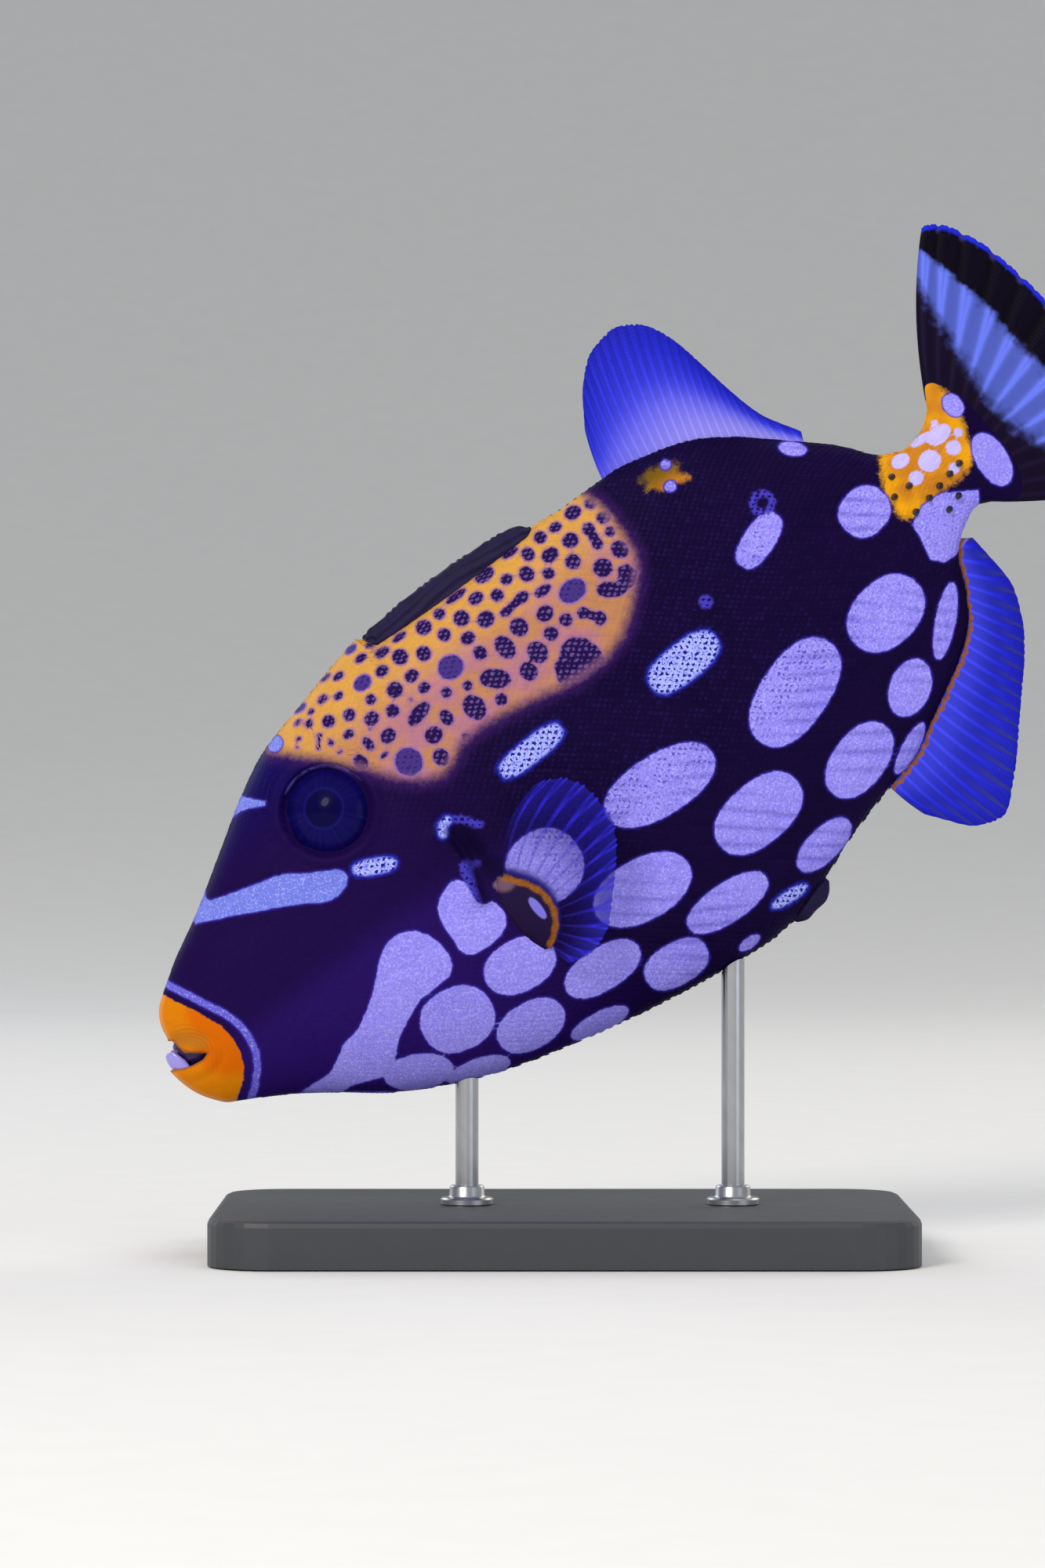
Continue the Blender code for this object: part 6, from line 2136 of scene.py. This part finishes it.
@dataclass
class Studio:
    """A pale floor that sweeps up all round, soft lights and the camera of the picture."""

    frame_tall: float = 0.4068
    centre: tuple[float, float] = (-0.0106, 0.1211)
    distance: float = 1.5
    sensor_mm: float = 36.0
    air: float = 0.52
    aim: tuple[float, float, float] = (0, 0, 0.12)
    flat_to: float = 1.6
    floor_radius: float = 6.0
    rise: float = 0.16
    lights: tuple = (
        ("key", (-0.9, -1.6, 1.15), 0.8, 27.0, "#FFF8F0"),
        ("fill", (1.3, -1.3, 0.4), 1.3, 6.0, "#EAF0FF"),
        ("crown", (0.1, 0.2, 1.7), 1.0, 6.0, "#FFFFFF"),
        ("back_left", (-1.2, 1.3, 0.9), 1.0, 7.0, "#EEF2FF"),
        ("back_right", (1.2, 1.2, 0.9), 1.0, 7.0, "#FFF7EC"),
    )

    def floor(self) -> None:
        """A round sheet that is flat round the stand and rises far behind the cameras."""
        flat, rising = np.linspace(0, self.flat_to, 9), np.linspace(1.8, self.floor_radius, 24)
        radius = np.concatenate([flat, rising])[:, None]
        turn = full_turn(64)
        x, y = radius * np.cos(turn), radius * np.sin(turn)
        z = -0.0004 + self.rise * np.clip(radius - self.flat_to, 0, None) ** 2 + 0 * x
        paper = Worked(
            "seamless_paper", "#E9E9E7", 0.9, second="#E4E4E2", grain_mm=1.5, depth_mm=0.01
        ).build()
        points = np.stack([x, y, z], axis=-1)
        sheet = welded(mesh_object("studio_floor", points, grid_faces(*x.shape, wrap=True), paper))
        shape = bmesh.new()
        shape.from_mesh(sheet.data)
        for face in shape.faces:
            if face.normal.z < 0:
                face.normal_flip()
        shape.to_mesh(sheet.data)
        shape.free()

    def light(self) -> None:
        """The pale room and its soft boxes, all turned to the fish."""
        world = bpy.data.worlds.new("studio_air")
        world.use_nodes = True
        background = world.node_tree.nodes["Background"].inputs
        background["Color"].default_value = linear("#EDEFF4")
        background["Strength"].default_value = self.air
        bpy.context.scene.world = world
        for name, spot, size, power, colour in self.lights:
            lamp = bpy.data.lights.new(name, "AREA")
            lamp.shape = "DISK"
            lamp.size, lamp.energy, lamp.color = size, power, linear(colour)[:3]
            holder = linked(name, lamp)
            holder.location = spot
            way = np.array(self.aim) - np.array(spot)
            flat = math.hypot(way[0], way[1])
            heading = math.atan2(way[1], way[0]) - math.pi / 2
            holder.rotation_euler = (math.atan2(flat, -way[2]), 0, heading)

    def camera(self) -> None:
        """The picture's view: straight at the left side, level, from far off."""
        lens = bpy.data.cameras.new("view")
        lens.sensor_fit = "VERTICAL"
        lens.sensor_height = self.sensor_mm
        lens.lens = self.sensor_mm * self.distance / self.frame_tall
        holder = linked("view", lens)
        holder.location = (self.centre[0], -self.distance, self.centre[1])
        holder.rotation_euler = (math.pi / 2, 0, 0)
        bpy.context.scene.camera = holder
        bpy.context.scene.view_settings.view_transform = "Standard"

    def build(self) -> None:
        """Sets up the studio."""
        self.floor()
        self.light()
        self.camera()


@dataclass(frozen=True)
class EyeGlass(Finish):
    """Blown glass eye: a black pupil in a dark indigo iris, under a clear polished layer.

    The eye gets depth from fine streaks round the pupil and a crisp gloss.
    """

    pupil: float = 4.7
    iris: float = 11.4

    def build(self) -> Material:
        """Makes the material, from each point's distance to the eye's axis and turn round it."""
        material, tree, shader = self.start()
        off = stored(tree, "off_axis")
        turn = {"n0": stored(tree, "turn_x"), "n1": stored(tree, "turn_y")}
        where = add_node(tree, "ShaderNodeCombineXYZ", **turn).outputs[0]
        streaks = add_node(tree, "ShaderNodeTexNoise", Vector=where, Scale=9.0, Detail=3.0).outputs[0]
        iris = blended(tree, ranged(tree, streaks, 0.3, 0.75), "#0B0648", "#120C58")
        colour = blended(tree, ranged(tree, off, self.pupil - 0.6, self.pupil + 0.6), "#08043A", iris)
        ring = counted(tree, "ABSOLUTE", counted(tree, "SUBTRACT", off, self.pupil + 0.55))
        colour = blended(tree, ranged(tree, ring, 0.45, 0.1), colour, "#14105E")
        colour = blended(tree, ranged(tree, off, self.iris - 0.8, self.iris + 0.2), colour, "#0A0724")
        tree.links.new(colour, shader.inputs["Base Color"])
        return material


@dataclass
class Finishes:
    """All the materials of the model, made once."""

    def __post_init__(self) -> None:
        """Makes them."""
        # Cast resin skin, airbrushed and lacquered satin.
        self.skin = PaintedSkin("painted_skin", "#1A0D33", 0.55, 1.45, specular=0.04).build()
        # The plates take the same paint, a little glossier.
        self.plates = PaintedSkin("painted_scales", "#1A0D33", 0.5, 1.45, specular=0.04).build()
        # Silicone rubber, brushed wet-looking: the inside of the mouth.
        self.lining = Worked(
            "mouth_silicone", "#150630", 0.4, 1.41, coat=0.15, second="#3C1660", grain_mm=0.8, depth_mm=0.05
        ).build()
        # Cast and polished tooth enamel.
        self.enamel = Worked(
            "polished_enamel", "#A39CEC", 0.25, 1.62, coat=0.3, subsurface=0.1, second="#8E80D8",
            grain_mm=0.6, depth_mm=0.01,
        ).build()  # fmt: skip
        # Blown glass, painted from behind.
        self.eye = EyeGlass(
            "blown_glass_eye", "#05050F", 0.3, 1.4, coat=0.05, coat_roughness=0.03, specular=0.03
        ).build()
        self.soft_dorsal = Membrane(
            "clear_resin_soft_dorsal", "#5A5CE0", 0.5, 1.49, specular=0.1,
            tints=((0, "#948EEA"), (0.42, "#3A3ED6", 0.3), (0.68, "#1A20B4", 0.2), (0.94, "#0C1090", 0.14)),
            web_alpha=0.98, tip_alpha=0.9, ray_light=0.4,
        ).build()  # fmt: skip
        self.anal = Membrane(
            "clear_resin_anal", "#2A2C8A", 0.5, 1.49, specular=0.1,
            tints=((0, "#140A30"), (0.08, "#383ED0", 0.03), (0.4, "#161CA8", 0.26), (0.8, "#0C1090", 0.2)),
            web_alpha=0.98, tip_alpha=0.75, ray_light=0.7,
        ).build()  # fmt: skip
        self.tail = Membrane(
            "clear_resin_tail", "#20206A", 0.5, 1.45, specular=0.06,
            tints=((0, "#10071F"), (1.0, "#4C5AB4", 0.2), (2.0, "#05020E", 0.14), (3.45, "#141CA0", 0.2)),
            web_alpha=0.97, tip_alpha=0.75, ray_light=0.9, ragged=0.4,
        ).build()  # fmt: skip
        self.side_fin = Membrane(
            "clear_resin_side_fin", "#2E2E9A", 0.5, 1.45, specular=0.15,
            tints=((-1, "#1A0736"), (0.0, "#1E167C", 0.25), (0.5, "#1C1490", 0.3), (1.05, "#1E1EA4", 0.2)),
            web_alpha=0.04, tip_alpha=0.42, ray_alpha=0.35, ray_light=1.5,
        ).build()  # fmt: skip
        # Cast spines, sanded by hand and stained.
        self.spine = Worked(
            "stained_cast_spine", "#0A0518", 0.6, 1.45, specular=0.2, second="#1C1048", grain_mm=0.5,
            depth_mm=0.1,
        ).build()  # fmt: skip
        self.hook = Worked(
            "black_cast_hook", "#0B0812", 0.35, 1.5, coat=0.3, second="#1A1024", grain_mm=0.5, depth_mm=0.03
        ).build()
        # Cast aluminium, powder coated in a fine satin texture.
        self.paint = Worked(
            "powder_coated_aluminium", "#33363A", 0.5, 1.5, second="#383B40", grain_mm=0.45, depth_mm=0.02
        ).build()
        # Steel rod, brushed along its length.
        self.steel = Worked(
            "brushed_steel", "#B9BBBD", 0.3, metallic=1.0, second="#A6A8AB", grain_mm=0.25, depth_mm=0.004,
            stretch=(1.0, 1.0, 30.0),
        ).build()  # fmt: skip


def main() -> None:
    """Builds the model's finished look over its solids."""
    logging.basicConfig(level=logging.INFO, format="%(name)s: %(message)s")
    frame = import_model()
    finishes = Finishes()
    build = Build()
    studio = Studio()
    studio.build()
    skin = Skin(finishes.skin)
    skin.build(build)
    Mouth(finishes.lining, finishes.enamel, skin.edges).build(build)
    for side in Side:
        Eye(side, finishes.eye).build(build)
    Fin(
        "rear_back_fin", "soft_dorsal_fin", "pale_fin", finishes.soft_dorsal, (177.5, 226.0),
        ((182, 63.5), (188.5, 73), (195.5, 78.8), (202.5, 80.3), (208.5, 77.8), (212.8, 71.8),
         (215, 64.3), (216.4, 56.6), (218, 48.6), (220.6, 39.8), (226.8, 29.6)),
        True, 25, (4.5, 0.95, 0.08), 0.03,
    ).build(build)  # fmt: skip
    Fin(
        "rear_belly_fin", "anal_fin", "dark_fin", finishes.anal, (190.5, 243.0),
        ((193.4, -69.5), (202.5, -79.8), (209, -81.8), (217, -75.8), (223.3, -69.2), (229, -62.8),
         (234.4, -57), (239.8, -50.8), (244.4, -43.6), (247.6, -33.2), (246.4, -19.2)),
        False, 22, (4.0, 0.9, 0.5), -0.03,
    ).build(build)  # fmt: skip
    TailFin(finishes.tail).build(build)
    Pectoral(Side.LEFT, finishes.side_fin, math.tan(math.radians(25))).build(build)
    Pectoral(Side.RIGHT, finishes.side_fin, math.tan(math.radians(30))).build(build)
    Spines(finishes.spine, finishes.hook).build(build)
    Stand(finishes.paint, finishes.steel).build(build, frame["nodes"])
    Scales(finishes.plates).build(build)
    LOG.info("%d pieces, %d faces", len(build.pieces), sum(len(p.data.polygons) for p in build.pieces))


if __name__ == "__main__":
    main()
